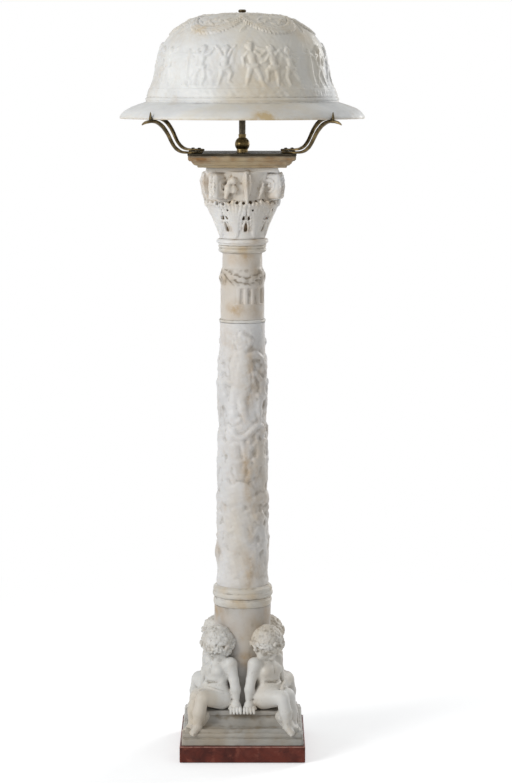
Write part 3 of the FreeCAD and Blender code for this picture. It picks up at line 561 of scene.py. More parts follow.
def plain(name, colour_a, colour_b, rough, metal=0.0, scale=60.0, grain=600.0):
    m = Mat(name, 0.5, metal)
    m.colour(m.mix(m.band(m.noise(scale, 5, 0.6), 0.35, 0.68), colour_a, colour_b))
    m.rough(scale * 1.7, 4, 0.6, *rough)
    m.bump(m.noise(grain, 3, 0.6), 0.0002, 0.5)
    return m.m


def felt():
    m = Mat("felt_green", 0.95)
    m.colour(m.mix(m.band(m.noise(900.0, 4, 0.7), 0.35, 0.68), (0.03, 0.07, 0.035), (0.07, 0.13, 0.07)))
    m.bump(m.noise(1400.0, 3, 0.8, 0.4), 0.0006, 0.8)
    m.set(Sheen_Weight=0.4)
    return m.m


def frosted():
    m = Mat("bulb_frosted", 0.35, ior=1.45)
    m.colour(m.mix(m.band(m.noise(40.0), 0.3, 0.7), (0.92, 0.92, 0.90), (0.86, 0.86, 0.83)))
    m.rough(160.0, 4, 0.55, 0.3, 0.45)
    m.set(Transmission_Weight=0.35)
    return m.m


# pale, grey, warm, stain, then how much stain and the colour of the dirt and painted shade
STONE = {name: stone(name, *values) for name, values in {
    "shade": ((0.75, 0.75, 0.73), (0.65, 0.65, 0.64), (0.69, 0.64, 0.54), (0.54, 0.41, 0.23), 0.28),
    # the plinth and the drum behind the children get darker tones than the other stones: painted shade
    "plinth": ((0.43, 0.415, 0.385), (0.32, 0.31, 0.285), (0.38, 0.33, 0.26), (0.30, 0.23, 0.14), 0.35),
    "drum": ((0.57, 0.55, 0.53), (0.44, 0.425, 0.40), (0.48, 0.43, 0.36), (0.40, 0.27, 0.14), 0.4),
    "ring": ((0.66, 0.64, 0.60), (0.56, 0.55, 0.52), (0.58, 0.49, 0.36), (0.46, 0.32, 0.15), 0.6),
    "shaft": ((0.72, 0.71, 0.70), (0.62, 0.61, 0.60), (0.60, 0.53, 0.43), (0.44, 0.32, 0.19), 0.35),
    "neck": ((0.66, 0.62, 0.57), (0.57, 0.53, 0.48), (0.56, 0.47, 0.35), (0.44, 0.31, 0.17), 0.5),
    "capital": ((0.76, 0.75, 0.73), (0.66, 0.65, 0.64), (0.66, 0.59, 0.49), (0.47, 0.33, 0.17), 0.3,
                (0.30, 0.20, 0.10)),
    "abacus": ((0.50, 0.42, 0.29), (0.42, 0.35, 0.24), (0.40, 0.29, 0.15), (0.26, 0.13, 0.04), 0.7),
    "figure": ((0.70, 0.69, 0.66), (0.60, 0.59, 0.56), (0.58, 0.51, 0.41), (0.42, 0.32, 0.20), 0.35,
               (0.21, 0.17, 0.12)),
}.items()}
# film, metal, rubbed metal, then roughness and wear
BRASS = {name: brass(name, *values) for name, values in {
    "arm": ((0.055, 0.042, 0.022), (0.13, 0.095, 0.045), (0.36, 0.26, 0.12)),
    "plate": ((0.035, 0.03, 0.022), (0.075, 0.062, 0.042), (0.17, 0.14, 0.09), (0.4, 0.65), 0.2),
    "knop": ((0.12, 0.085, 0.035), (0.28, 0.20, 0.09), (0.62, 0.46, 0.22), (0.25, 0.45), 0.5),
    "stem": ((0.05, 0.042, 0.03), (0.10, 0.082, 0.055), (0.24, 0.19, 0.12), (0.3, 0.5), 0.25),
    "holder": ((0.16, 0.12, 0.05), (0.32, 0.24, 0.11), (0.60, 0.46, 0.22), (0.22, 0.4), 0.4),
    "knob": ((0.03, 0.024, 0.015), (0.075, 0.055, 0.03), (0.22, 0.16, 0.08), (0.35, 0.55), 0.3),
}.items()}
RESIN = plain("resin_dark", (0.035, 0.022, 0.016), (0.06, 0.038, 0.026), (0.18, 0.32), 0.0, 90.0)
STEEL = plain("steel_dull", (0.30, 0.30, 0.29), (0.44, 0.43, 0.41), (0.35, 0.55), 1.0, 80.0)

# The CAD solids that show as they are
CAD_MATERIALS = {
    "felt_sheet": felt(), "marble_foot": red_marble(), "cable_gland": RESIN, "switch_key": RESIN,
    "base_washer": STEEL, "base_nut": STEEL, "tie_tube": STEEL, "crown_washer": STEEL, "crown_nut": STEEL,
    "top_plate": BRASS["plate"], "clamp_nut": BRASS["knop"], "stem_knop": BRASS["knop"], "stem_tube": BRASS["stem"],
    "holder_cup": BRASS["holder"], "holder_shell": BRASS["holder"], "holder_ring": BRASS["holder"],
    "holder_liner": BRASS["holder"], "crown_knob": BRASS["knob"],
    "holder_core": plain("porcelain", (0.78, 0.76, 0.70), (0.72, 0.70, 0.63), (0.08, 0.2), 0.0, 30.0, 120.0),
    "bulb_cap": plain("bulb_aluminium", (0.55, 0.55, 0.54), (0.68, 0.68, 0.67), (0.25, 0.4), 1.0, 90.0),
    "bulb_glass": frosted(),
}
for node, mat in CAD_MATERIALS.items():
    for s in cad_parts[node].material_slots:
        s.material = mat


# Camera, light and floor

def link(name, data):
    ob = bpy.data.objects.new(name, data)
    bpy.context.scene.collection.objects.link(ob)
    return ob


def stage():
    scene = bpy.context.scene
    cam = link("camera", bpy.data.cameras.new("camera"))
    cam.data.lens = 113.3
    cam.data.sensor_width = 36.0
    cam.location = (0.033, -5.962, 1.643)
    cam.rotation_euler = (math.radians(90 - 7.208), 0, 0)
    scene.camera = cam
    scene.view_settings.view_transform = "Standard"

    for name, where, aim, size, power in (("key", (-3.9, -3.1, 2.9), 1.0, (1.8, 2.6), 158),
                                          ("fill", (3.2, -4.2, 1.8), 1.0, (2.4, 2.4), 14),
                                          ("rim", (2.6, 2.8, 2.2), 1.1, (1.2, 2.4), 60)):
        light = bpy.data.lights.new(name, "AREA")
        light.shape = "RECTANGLE"
        light.size, light.size_y = size
        light.energy = power
        ob = link(name, light)
        ob.location = where
        ob.rotation_euler = (Vector((0, 0, aim)) - Vector(where)).to_track_quat("-Z", "Y").to_euler()

    # the world lights the lamp softly, and shows as white to the camera, in metal and through glass
    world = bpy.data.worlds.new("world")
    scene.world = world
    world.use_nodes = True
    t = world.node_tree
    t.nodes.clear()
    kinds = ("OutputWorld", "LightPath", "Background", "Background", "Math", "Math", "MixShader")
    out, path, dim, white, seen, seen_through, mix = (t.nodes.new("ShaderNode" + kind) for kind in kinds)
    dim.inputs[0].default_value = (0.96, 0.98, 1.0, 1)
    dim.inputs[1].default_value = 0.42
    white.inputs[0].default_value = (1, 1, 1, 1)
    white.inputs[1].default_value = 1.0
    seen.operation = seen_through.operation = "MAXIMUM"
    for a, b in ((path.outputs["Is Camera Ray"], seen.inputs[0]), (path.outputs["Is Glossy Ray"], seen.inputs[1]),
                 (seen.outputs[0], seen_through.inputs[0]),
                 (path.outputs["Is Transmission Ray"], seen_through.inputs[1]),
                 (seen_through.outputs[0], mix.inputs[0]), (dim.outputs[0], mix.inputs[1]),
                 (white.outputs[0], mix.inputs[2]), (mix.outputs[0], out.inputs[0])):
        t.links.new(a, b)

    # away from the lamp the floor turns into plain white, so that no horizon shows
    size = 14.0
    me = bpy.data.meshes.new("floor")
    me.from_pydata([(-size, -size, 0), (size, -size, 0), (size, size, 0), (-size, size, 0)], [], [(0, 1, 2, 3)])
    floor = link("floor", me)
    m = Mat("floor_pale", 0.9, spec=0.1)
    m.colour((0.82, 0.82, 0.82))
    path = m.t.nodes.new("ShaderNodeLightPath")
    m.set(Emission_Color=(1, 1, 1, 1))
    seen = m.math("MAXIMUM", path.outputs["Is Camera Ray"], path.outputs["Is Glossy Ray"])
    m.put(m.p.inputs["Emission Strength"], m.math("MULTIPLY", seen, 0.42))
    far = m.node("VectorMath", i0=m.co)
    far.operation = "LENGTH"
    white = m.node("Emission", Color=(1, 1, 1), Strength=1.0)
    blend = m.t.nodes.new("ShaderNodeMixShader")
    m.put(blend.inputs[0], m.math("MULTIPLY", seen, m.band(far.outputs["Value"], 0.5, 2.2)))
    m.put(blend.inputs[1], m.p.outputs[0])
    m.put(blend.inputs[2], white.outputs[0])
    m.put(m.t.nodes["Material Output"].inputs[0], blend.outputs[0])
    me.materials.append(m.m)


stage()


# Carved reliefs

# Standing children: points as shares of their height, across and up from the feet.
# Arms run shoulder, elbow, hand and legs run hip, knee, ankle, toe.
STANCES = [
    dict(head=(0.03, 0.885), chest=(0.0, 0.68), hips=(-0.02, 0.50),
         arms=[[(0.075, 0.755), (0.19, 0.79), (0.28, 0.90)], [(-0.08, 0.75), (-0.19, 0.67), (-0.30, 0.72)]],
         legs=[[(0.04, 0.47), (0.10, 0.26), (0.04, 0.05), (0.11, 0.02)],
               [(-0.06, 0.47), (-0.17, 0.31), (-0.27, 0.15), (-0.33, 0.19)]]),
    dict(head=(-0.04, 0.875), chest=(0.0, 0.67), hips=(0.03, 0.49),
         arms=[[(0.085, 0.745), (0.20, 0.68), (0.31, 0.76)], [(-0.075, 0.745), (-0.19, 0.63), (-0.16, 0.48)]],
         legs=[[(0.07, 0.46), (0.17, 0.29), (0.24, 0.07), (0.31, 0.05)],
               [(-0.01, 0.46), (-0.07, 0.25), (-0.11, 0.05), (-0.18, 0.02)]]),
    dict(head=(0.05, 0.875), chest=(0.01, 0.67), hips=(-0.02, 0.49),
         arms=[[(0.09, 0.74), (0.19, 0.61), (0.29, 0.57)], [(-0.07, 0.75), (-0.17, 0.85), (-0.28, 0.88)]],
         legs=[[(0.03, 0.46), (0.15, 0.39), (0.14, 0.18), (0.21, 0.15)],
               [(-0.06, 0.46), (-0.10, 0.25), (-0.08, 0.04), (-0.15, 0.015)]]),
    dict(head=(-0.02, 0.89), chest=(-0.01, 0.68), hips=(0.0, 0.50),
         arms=[[(0.075, 0.755), (0.15, 0.88), (0.25, 0.98)], [(-0.09, 0.755), (-0.16, 0.89), (-0.25, 0.99)]],
         legs=[[(0.05, 0.47), (0.09, 0.25), (0.13, 0.05), (0.20, 0.02)],
               [(-0.05, 0.47), (-0.16, 0.35), (-0.11, 0.15), (-0.18, 0.12)]]),
]
# The child at the front of the shaft: one arm held out, the other bent down
FRONT_STANCE = dict(head=(0.01, 0.93), chest=(0.0, 0.70), hips=(-0.01, 0.52),
                    arms=[[(0.07, 0.79), (0.17, 0.81), (0.29, 0.75)], [(-0.07, 0.79), (-0.115, 0.68), (-0.10, 0.50)]],
                    legs=[[(0.03, 0.48), (-0.015, 0.30), (0.045, 0.10), (0.10, 0.05)],
                          [(-0.05, 0.48), (-0.11, 0.32), (-0.13, 0.12), (-0.20, 0.09)]])
FACED_FROM = 120  # children taller than this, in mm, get a face, a navel and a chest line


def carve_child(R, u, v, size, depth, stance, flip=1, seed=0, stout=1.0, drape=True):
    """A child in relief with its feet at (u, v): rounded limbs, curly hair and a loose strip of cloth."""
    rng = np.random.default_rng(seed)
    P = FRONT_STANCE if stance < 0 else STANCES[stance % len(STANCES)]
    k = size * stout
    hr = k * 0.088  # the head's radius

    def at(q):
        return (u + flip * q[0] * size, v + q[1] * size)

    def egg(x, y, scale, ru, rv, height, base, lean=0, seam=0.8):
        R.egg(x, y, scale * ru, scale * rv, depth * height, lean, depth * base, seam)

    def groove(x, y, dx, dy, width, deep):
        R.groove([(x - dx, y), (x + dx, y + dy)], width, depth * deep)

    head, chest, hips = at(P["head"]), at(P["chest"]), at(P["hips"])
    lean = -math.atan2(chest[0] - hips[0], chest[1] - hips[1])
    if drape:
        line = [at(q) for q in (P["arms"][1][2], (P["hips"][0] - 0.12, 0.46), (0.14, 0.40), (0.30, 0.22), (0.27, 0.04))]
        R.cloth(spline(line, size * 0.06), k * 0.07, depth * 0.34, 2.4)
    for leg in P["legs"][::-1]:
        p = [at(q) for q in leg]
        R.path(p[:2], [k * 0.074, k * 0.052], depth * 0.85, depth * 0.1)
        R.path(p[1:3], [k * 0.052, k * 0.030], depth * 0.75, depth * 0.05)
        R.limb(p[2], p[3], k * 0.030, k * 0.022, depth * 0.5)
        egg((p[1][0] * 2 + p[2][0]) / 3, (p[1][1] * 2 + p[2][1]) / 3, k, 0.05, 0.07, 0.8, 0.05)
    egg(*hips, k, 0.098, 0.088, 0.95, 0.12, lean)
    egg(hips[0] * 0.6 + chest[0] * 0.4, hips[1] * 0.6 + chest[1] * 0.4, k, 0.088, 0.085, 1, 0.14, lean)
    egg(*chest, k, 0.098, 0.105, 0.95, 0.12, lean)
    for arm in P["arms"]:
        R.path([at(q) for q in arm], [k * 0.042, k * 0.036, k * 0.024], depth * 0.75, depth * 0.12)
        egg(*at(arm[2]), k, 0.03, 0.03, 0.6, 0.12)
    R.limb(chest, head, k * 0.04, k * 0.036, depth * 0.75, depth * 0.12)
    egg(*head, hr, 0.9, 1.08, 1.05, 0.2)
    for _ in range(14):
        a, q = rng.uniform(-0.3, PI + 0.3), rng.uniform(0.6, 1.0)
        x, y = head[0] + hr * q * math.cos(a), head[1] + hr * (0.25 + q * 0.88 * math.sin(a))
        egg(x, y, hr, 0.3, 0.26, 0.5, 0.72, 0, 0.4)
    if size > FACED_FROM:
        f = head[0] + flip * hr * 0.14
        egg(f, head[1] - hr * 0.24, hr, 0.10, 0.22, 0.3, 1.14, 0, 0.4)
        for e in (-1, 1):
            egg(f + e * hr * 0.38, head[1] - hr * 0.45, hr, 0.26, 0.24, 0.2, 1.06, 0, 0.4)
            brow = [(f + e * hr * 0.22, head[1] - hr * 0.06), (f + e * hr * 0.52, head[1] - hr * 0.08)]
            R.groove(brow, hr * 0.17, depth * 0.24)
        egg(f, head[1] - hr * 0.84, hr, 0.22, 0.15, 0.22, 1.0, 0, 0.4)
        groove(f, head[1] - hr * 0.62, hr * 0.16, 0, hr * 0.09, 0.12)
        groove(hips[0], hips[1] + k * 0.075, 0, k * 0.005, k * 0.013, 0.2)
        groove(chest[0], chest[1] - k * 0.02, k * 0.06, 0, k * 0.014, 0.1)
    if drape:
        x, y = P["hips"]
        R.cloth([at((x - 0.12, y)), at((x, y - 0.05)), at((x + 0.12, y))], k * 0.04, depth * 0.3, 2.4, depth * 0.95)


def carve_garland(R, points, width, depth, seed=0, fruit=5):
    """A festoon of overlapping leaves with a few round fruits."""
    rng = np.random.default_rng(seed)
    p = spline(points, width * 0.42)
    for i in range(len(p)):
        t = p[min(i + 1, len(p) - 1)] - p[max(i - 1, 0)]
        a = math.atan2(t[1], t[0])
        w = width * (0.55 + 0.45 * math.sin(PI * (i + 0.5) / len(p)))
        for side in (-1, 0, 1):
            b = a + side * 0.75 + rng.uniform(-0.15, 0.15)
            q = p[i] + side * w * 0.42 * np.array([-math.sin(a), math.cos(a)])
            R.egg(*q, w * 0.55, w * 0.2, depth * 0.55, b, depth * (0.5 if side else 0.62), 0.35)
        if fruit and i % fruit == fruit // 2:
            x, y = p[i][0] + rng.uniform(-1, 1), p[i][1] + rng.uniform(-1, 1)
            R.egg(x, y, w * 0.27, w * 0.27, depth * 0.6, 0, depth * 0.6, 0.35)


def carve_rosette(R, u, v, size, depth, petals=8):
    for i in range(petals):
        a = 2 * PI * i / petals
        R.egg(u + size * 0.58 * math.cos(a), v + size * 0.58 * math.sin(a), size * 0.42, size * 0.22, depth, a, 0, 0.4)
    R.egg(u, v, size * 0.28, size * 0.28, depth * 0.7, 0, depth * 0.7, 0.4)


def blots(v, places):
    """Stains on points v in metres, around places (x, y, z, radius, strength) in mm."""
    out = np.zeros(len(v))
    for x, y, z, r, s in places:
        out += s * np.exp(-(((v - np.array([x, y, z]) * MM) ** 2).sum(1)) / (2 * (r * MM) ** 2))
    return out


# Shade

SHADE_SHARES = [(1.0, 0.0), (0.957, 0.146), (0.913, 0.255), (0.893, 0.349), (0.867, 0.488), (0.843, 0.589),
                (0.794, 0.689), (0.716, 0.789), (0.592, 0.895), (0.459, 0.962), (0.200, 0.995)]


def dome(foot_r, foot_z, top_z):
    """An outline (r, z) of the shade's bell, up to the hole for the stem."""
    return [(foot_r * r, foot_z + (top_z - foot_z) * z) for r, z in SHADE_SHARES] + [(12.0, top_z)]


def carve_frieze(R):
    """Groups of children between paired pilasters, four times round, with rough ground under their feet."""
    d = R.d
    for k in range(4):
        c = 90 * k
        facing = 1 if k % 2 == 0 else -1
        crowd = ((-27, 0, 1, 0.97), (-11, 3, -1, 0.95), (6.5, 1, 1, 1.06), (21, 2, -1, 0.98), (33, 0, -1, 0.92))
        for i, (a, stance, flip, grow) in enumerate(crowd):
            carve_child(R, (c + a) * d, 37, 107 * grow, 4.2, stance + k, flip * facing, 10 * k + i, 0.92)
        for a in (52, 59):
            u = (c + a) * d
            R.limb((u, 42), (u, 116), 5.6, 4.8, 2.8, 0.5, 0.5)
            for o in (-2.2, 2.2):
                R.groove([(u + o, 48), (u + o, 110)], 1.4, 1.2)
            R.limb((u - 6.5, 117), (u + 6.5, 117), 3.2, 3.2, 2.0, 1.4, 0.5)
            R.limb((u - 7, 41), (u + 7, 41), 3.0, 3.0, 1.8, 1.4, 0.5)
            R.egg(u, 125, 4.6, 5.6, 3.0, 0, 0.5, 0.5)
        R.limb(((c + 36) * d, 118), ((c + 62) * d, 118), 2.6, 2.6, 1.6, 0.6, 0.8)
        R.limb(((c + 36) * d, 108), ((c + 50) * d, 108), 1.6, 1.6, 1.0, 0.2, 0.8)
        carve_garland(R, [((c + 10) * d, 134), ((c + 22) * d, 122), ((c + 36) * d, 118)], 6, 2.2, k + 5, 0)
        rng = np.random.default_rng(k)
        for _ in range(34):
            R.egg((c + rng.uniform(-40, 50)) * d, rng.uniform(34, 41), rng.uniform(3, 9), rng.uniform(1.6, 3.4),
                  rng.uniform(0.5, 1.4), rng.uniform(-0.4, 0.4), 0, 0.8)
    R.wear()


def carve_swags(R):
    """Six festoons hung from rosettes, with ribbons and loose leaves between them."""
    d = R.d
    for k in range(6):
        c = 60 * k + 1
        line = ((0, 236), (9, 208), (19, 190), (30, 184), (41, 190), (51, 208), (60, 236))
        carve_garland(R, [((c + a) * d, y) for a, y in line], 16, 3.6, k + 20)
        carve_rosette(R, c * d, 240, 13, 3.6)
        R.drape(c, [(0, 230), (3, 208), (-2, 182)], 5.5, 2.4, 2.0, 5)
        R.drape(c, [(-4, 238), (-13, 222), (-11, 206)], 4.5, 2.2, 2.0, 5)
        for i in range(5):
            a = (c + 16 + 7 * i) * d
            R.egg(a, 214 + 7 * math.sin(i * 2.0), 10, 4, 2.2, 0.9 if i % 2 else -0.7, 0.3, 0.5)
            R.egg(a + 3, 226 + 5 * math.cos(i * 3.0), 8, 3.4, 2.0, -0.5 if i % 2 else 0.8, 0.3, 0.5)


def carve_top(R):
    """A ring of leaves round the neck of the shade and broad ribs above it."""
    for i in range(28):
        R.egg(2 * PI * i / 28 * 72.0, 266 + 4 * (i % 2), 12, 5.0, 2.4, 1.1 if i % 2 else 0.5, 0.3, 0.5)
    for i in range(14):
        a = 2 * PI * (i + 0.5) / 14 * 72.0
        R.limb((a, 284), (a, 322), 9.0, 26.0, 2.0, 0.0, 0.8)
        R.groove([(a, 286), (a, 322)], 1.6, 0.7)


def make_shade():
    outline = spline(dome(233.0, 1590.0, 1800.5), 1.75)
    run = np.concatenate([[0], np.cumsum(np.linalg.norm(np.diff(outline, axis=0), axis=1))])
    cols, swags_from, top_from = 840, 150, 250
    # each zone is drawn at about the radius that the dome has there
    frieze, swags, top = (Relief(cols, run, ref) for ref in (214.0, 142.0, 72.0))
    carve_frieze(frieze)
    carve_swags(swags)
    carve_top(top)
    v = frieze.V
    h = np.maximum(swags.h * (v > swags_from) * (v < 262), top.h * (v > top_from))
    h = np.maximum(frieze.h * (v < 160), h)

    # turned mouldings: a ledge under the feet, a plain band, a bead and a groove at the foot
    h = h + 2.0 * ramp(v, 29.0, 31.5) * (1 - ramp(v, 31.5, 36.5)) + 1.6 * (1 - ramp(v, 28.5, 31)) * ramp(v, 13.0, 14.5)
    for deep, at, wide in ((2.6, 8.0, 3.2), (-1.5, 2.4, 1.7), (-1.3, 13.2, 1.2)):
        h = h + deep * np.exp(-(((v - at) / wide) ** 2))
    P = around(cols, v, 225)
    h = h + 0.3 * wobble(P, 60, 3) + 0.16 * wobble(P, 13, 4) * (1 + 2.0 * (v < 29) * (v > 14))
    # painted shade: the carving's hollows are darkened through the dirt layer
    dirt = np.clip(hollow(h) * 0.33, 0, 1) * 0.6
    h = h * (1 - ramp(v, 318, 330))

    full = turn(outline * MM, cols, h * MM)
    stain = blots(full, [(-92, -130, 1762, 24, 0.5), (-150, -90, 1752, 26, 0.25), (150, -110, 1758, 26, 0.5),
                         (-215, -60, 1625, 30, 0.3), (20, -232, 1628, 60, 0.22), (60, -205, 1640, 45, 0.28),
                         (120, 150, 1770, 40, 0.5), (-100, 200, 1650, 60, 0.3), (200, 60, 1620, 50, 0.35),
                         (0, -110, 1790, 60, 0.25), (40, 90, 1792, 50, 0.4), (-120, 130, 1745, 46, 0.4)])
    # leaves and swags hold a warm tone
    stain = np.clip(stain.reshape(v.shape) + 0.05 * np.clip(h, 0, 4) * (v > swags_from), 0, 1.1)
    cut = int(np.searchsorted(run, 160.0))
    full = full.reshape(len(outline), cols, 3)
    for name, a, b in (("shade_frieze", 0, cut + 1), ("shade_crown", cut, len(outline))):
        piece(name, full[a:b].reshape(-1, 3), grid_faces(b - a, cols), body="shade_body", node="shade",
              slot="shade_alabaster", mat=STONE["shade"], dirt=dirt[a:b], stain=stain[a:b])

    # the brim with its flat seat, and the plain hollow inside
    brim = [(294.5, 1556.0), (288.5, 1564.0), (279.0, 1572.0), (259.6, 1581.0), (240.0, 1588.0), (231.5, 1590.2)]
    lip = [(224.0, 1579.0), (243.0, 1566.0), (264.5, 1551.0)]
    inside = np.vstack([[(12.0, 1800.5), (3.6, 1800.5), (3.6, 1791.5)], spline(dome(224.0, 1579.0, 1791.5)[::-1], 9.0),
                        spline(lip, 6.0)[1:], dense([(264.5, 1551.0), (293.4, 1551.0)], 4.0)[1:], [(294.4, 1552.0)],
                        spline(brim, 3.5)])
    cols = 300
    P = turn(inside, cols).reshape(len(inside), cols, 3)
    r, z = inside.T
    push = np.zeros(P.shape[:2])
    for where, swell in (((r > 226) & (z > 1551.5), 0.45 * wobble(P, 90, 12) + 0.25 * wobble(P, 22, 13)),
                         ((r < 226) & (r > 20), 0.8 * wobble(P, 40, 14))):
        push[where] = swell[where]
    v = turn(inside * MM, cols, push * MM)
    stain = blots(v, [(45, -290, 1556, 14, 1.2), (62, -286, 1560, 9, 0.8), (90, -275, 1560, 60, 0.25),
                      (-100, 270, 1565, 50, 0.6), (280, 90, 1560, 50, 0.35), (-250, 150, 1562, 40, 0.4)])
    r, z = np.hypot(v[:, 0], v[:, 1]), v[:, 2]
    # a warm, slightly darker band along the rim's lower edge, and a dark line of painted shade in the crease at the
    # dome's foot
    low = np.exp(-np.clip(z - 1.5512, 0, 1) / 0.0022) * (r > 0.27)
    dirt = 0.5 * np.exp(-((r - 0.2325) / 0.002) ** 2) * (z > 1.585)
    piece("shade_brim", v, grid_faces(len(inside), cols), body="shade_body", node="shade", slot="shade_alabaster",
          mat=STONE["shade"], sharp=50, dirt=dirt + 0.22 * low, stain=np.clip(stain + 0.75 * low, 0, 1.2))


# Carved shaft

def carve_front(R, z0):
    """The front of the shaft, after the photo. Points are (degrees from the front, height of the lamp)."""
    d = R.d

    def to(points):
        return spline([(a * d, z - z0) for a, z in points], 7)

    def ridge(points, wide, height):
        R.path(to(points), [wide] * len(to(points)), height, 0, 2.0)

    def cut(points, width, depth):
        R.groove(to(points), width, depth)

    def lump(a, z, ru, rv, height, turn=0, seam=2.0):
        R.egg(a * d, z - z0, ru, rv, height, turn, 0, seam)

    # a loose tunic with upright folds, and a cloth held over the arms
    R.limb((1 * d, 978 - z0), (0, 912 - z0), 22, 24, 4.6, 0, 2.0)
    for a, lean in ((-15, -5), (-8, -2), (-1, 1), (7, 3), (15, 4), (22, 7)):
        ridge([(a, 972), (a + lean * 0.6, 938), (a + lean, 904 + abs(a) * 0.5)], 3.0, 5.4)
    ridge([(20, 984), (38, 985), (62, 970)], 6.5, 4.6)
    cut([(16, 966), (34, 970), (54, 960)], 2.6, 2.4)
    cut([(-17, 925), (-17, 950), (-10, 966)], 2.4, 2.2)
    lump(-57, 883, 19, 27, 8.6, 0, 3.0)
    R.limb((-62 * d, 860 - z0), (-59 * d, 824 - z0), 8, 4.5, 6.4, 0, 2.0)
    lump(-24, 841, 12.5, 14, 5.6, 0.3)
    lump(-8, 826, 9, 7, 4.2, 0.3)
    # more cloth under the feet, falling in long folds
    ridge([(-34, 806), (-14, 784), (4, 784), (20, 796), (38, 810), (58, 806)], 8.0, 5.4)
    cut([(-26, 792), (-10, 774), (6, 774), (30, 790)], 2.4, 2.2)
    for points in ([(-34, 780), (-30, 740), (-37, 690)], [(-18, 768), (-20, 730), (-12, 690)],
                   [(0, 772), (8, 735), (2, 688)], [(18, 782), (14, 735), (22, 690)],
                   [(36, 792), (42, 745), (35, 694)]):
        ridge(points, 6.5, 3.4)
    # a broad ledge, and the worn forms below it
    R.limb((-44 * d, 650 - z0), (14 * d, 648 - z0), 20, 19, 7.4, 0, 1.6)
    cut([(-56, 676), (-12, 678), (22, 673)], 3.2, 4.2)
    cut([(-9, 674), (-6, 658)], 2.2, 2.0)
    cut([(-34, 606), (-8, 584), (18, 552)], 2.6, 1.8)
    lump(-78, 497, 11, 25, 7.2)
    for z in (628, 606, 588):
        lump(81, z, 9, 9, 6.4)


def rock(R, rng, a, v, dv, tall, height):
    """A low worn lump near a degrees across and v up."""
    R.egg((a + rng.uniform(-3, 3)) * R.d, v + rng.uniform(*dv), rng.uniform(9, 15), rng.uniform(6, tall),
          rng.uniform(*height), rng.uniform(-0.3, 0.3), 0, 1.6)


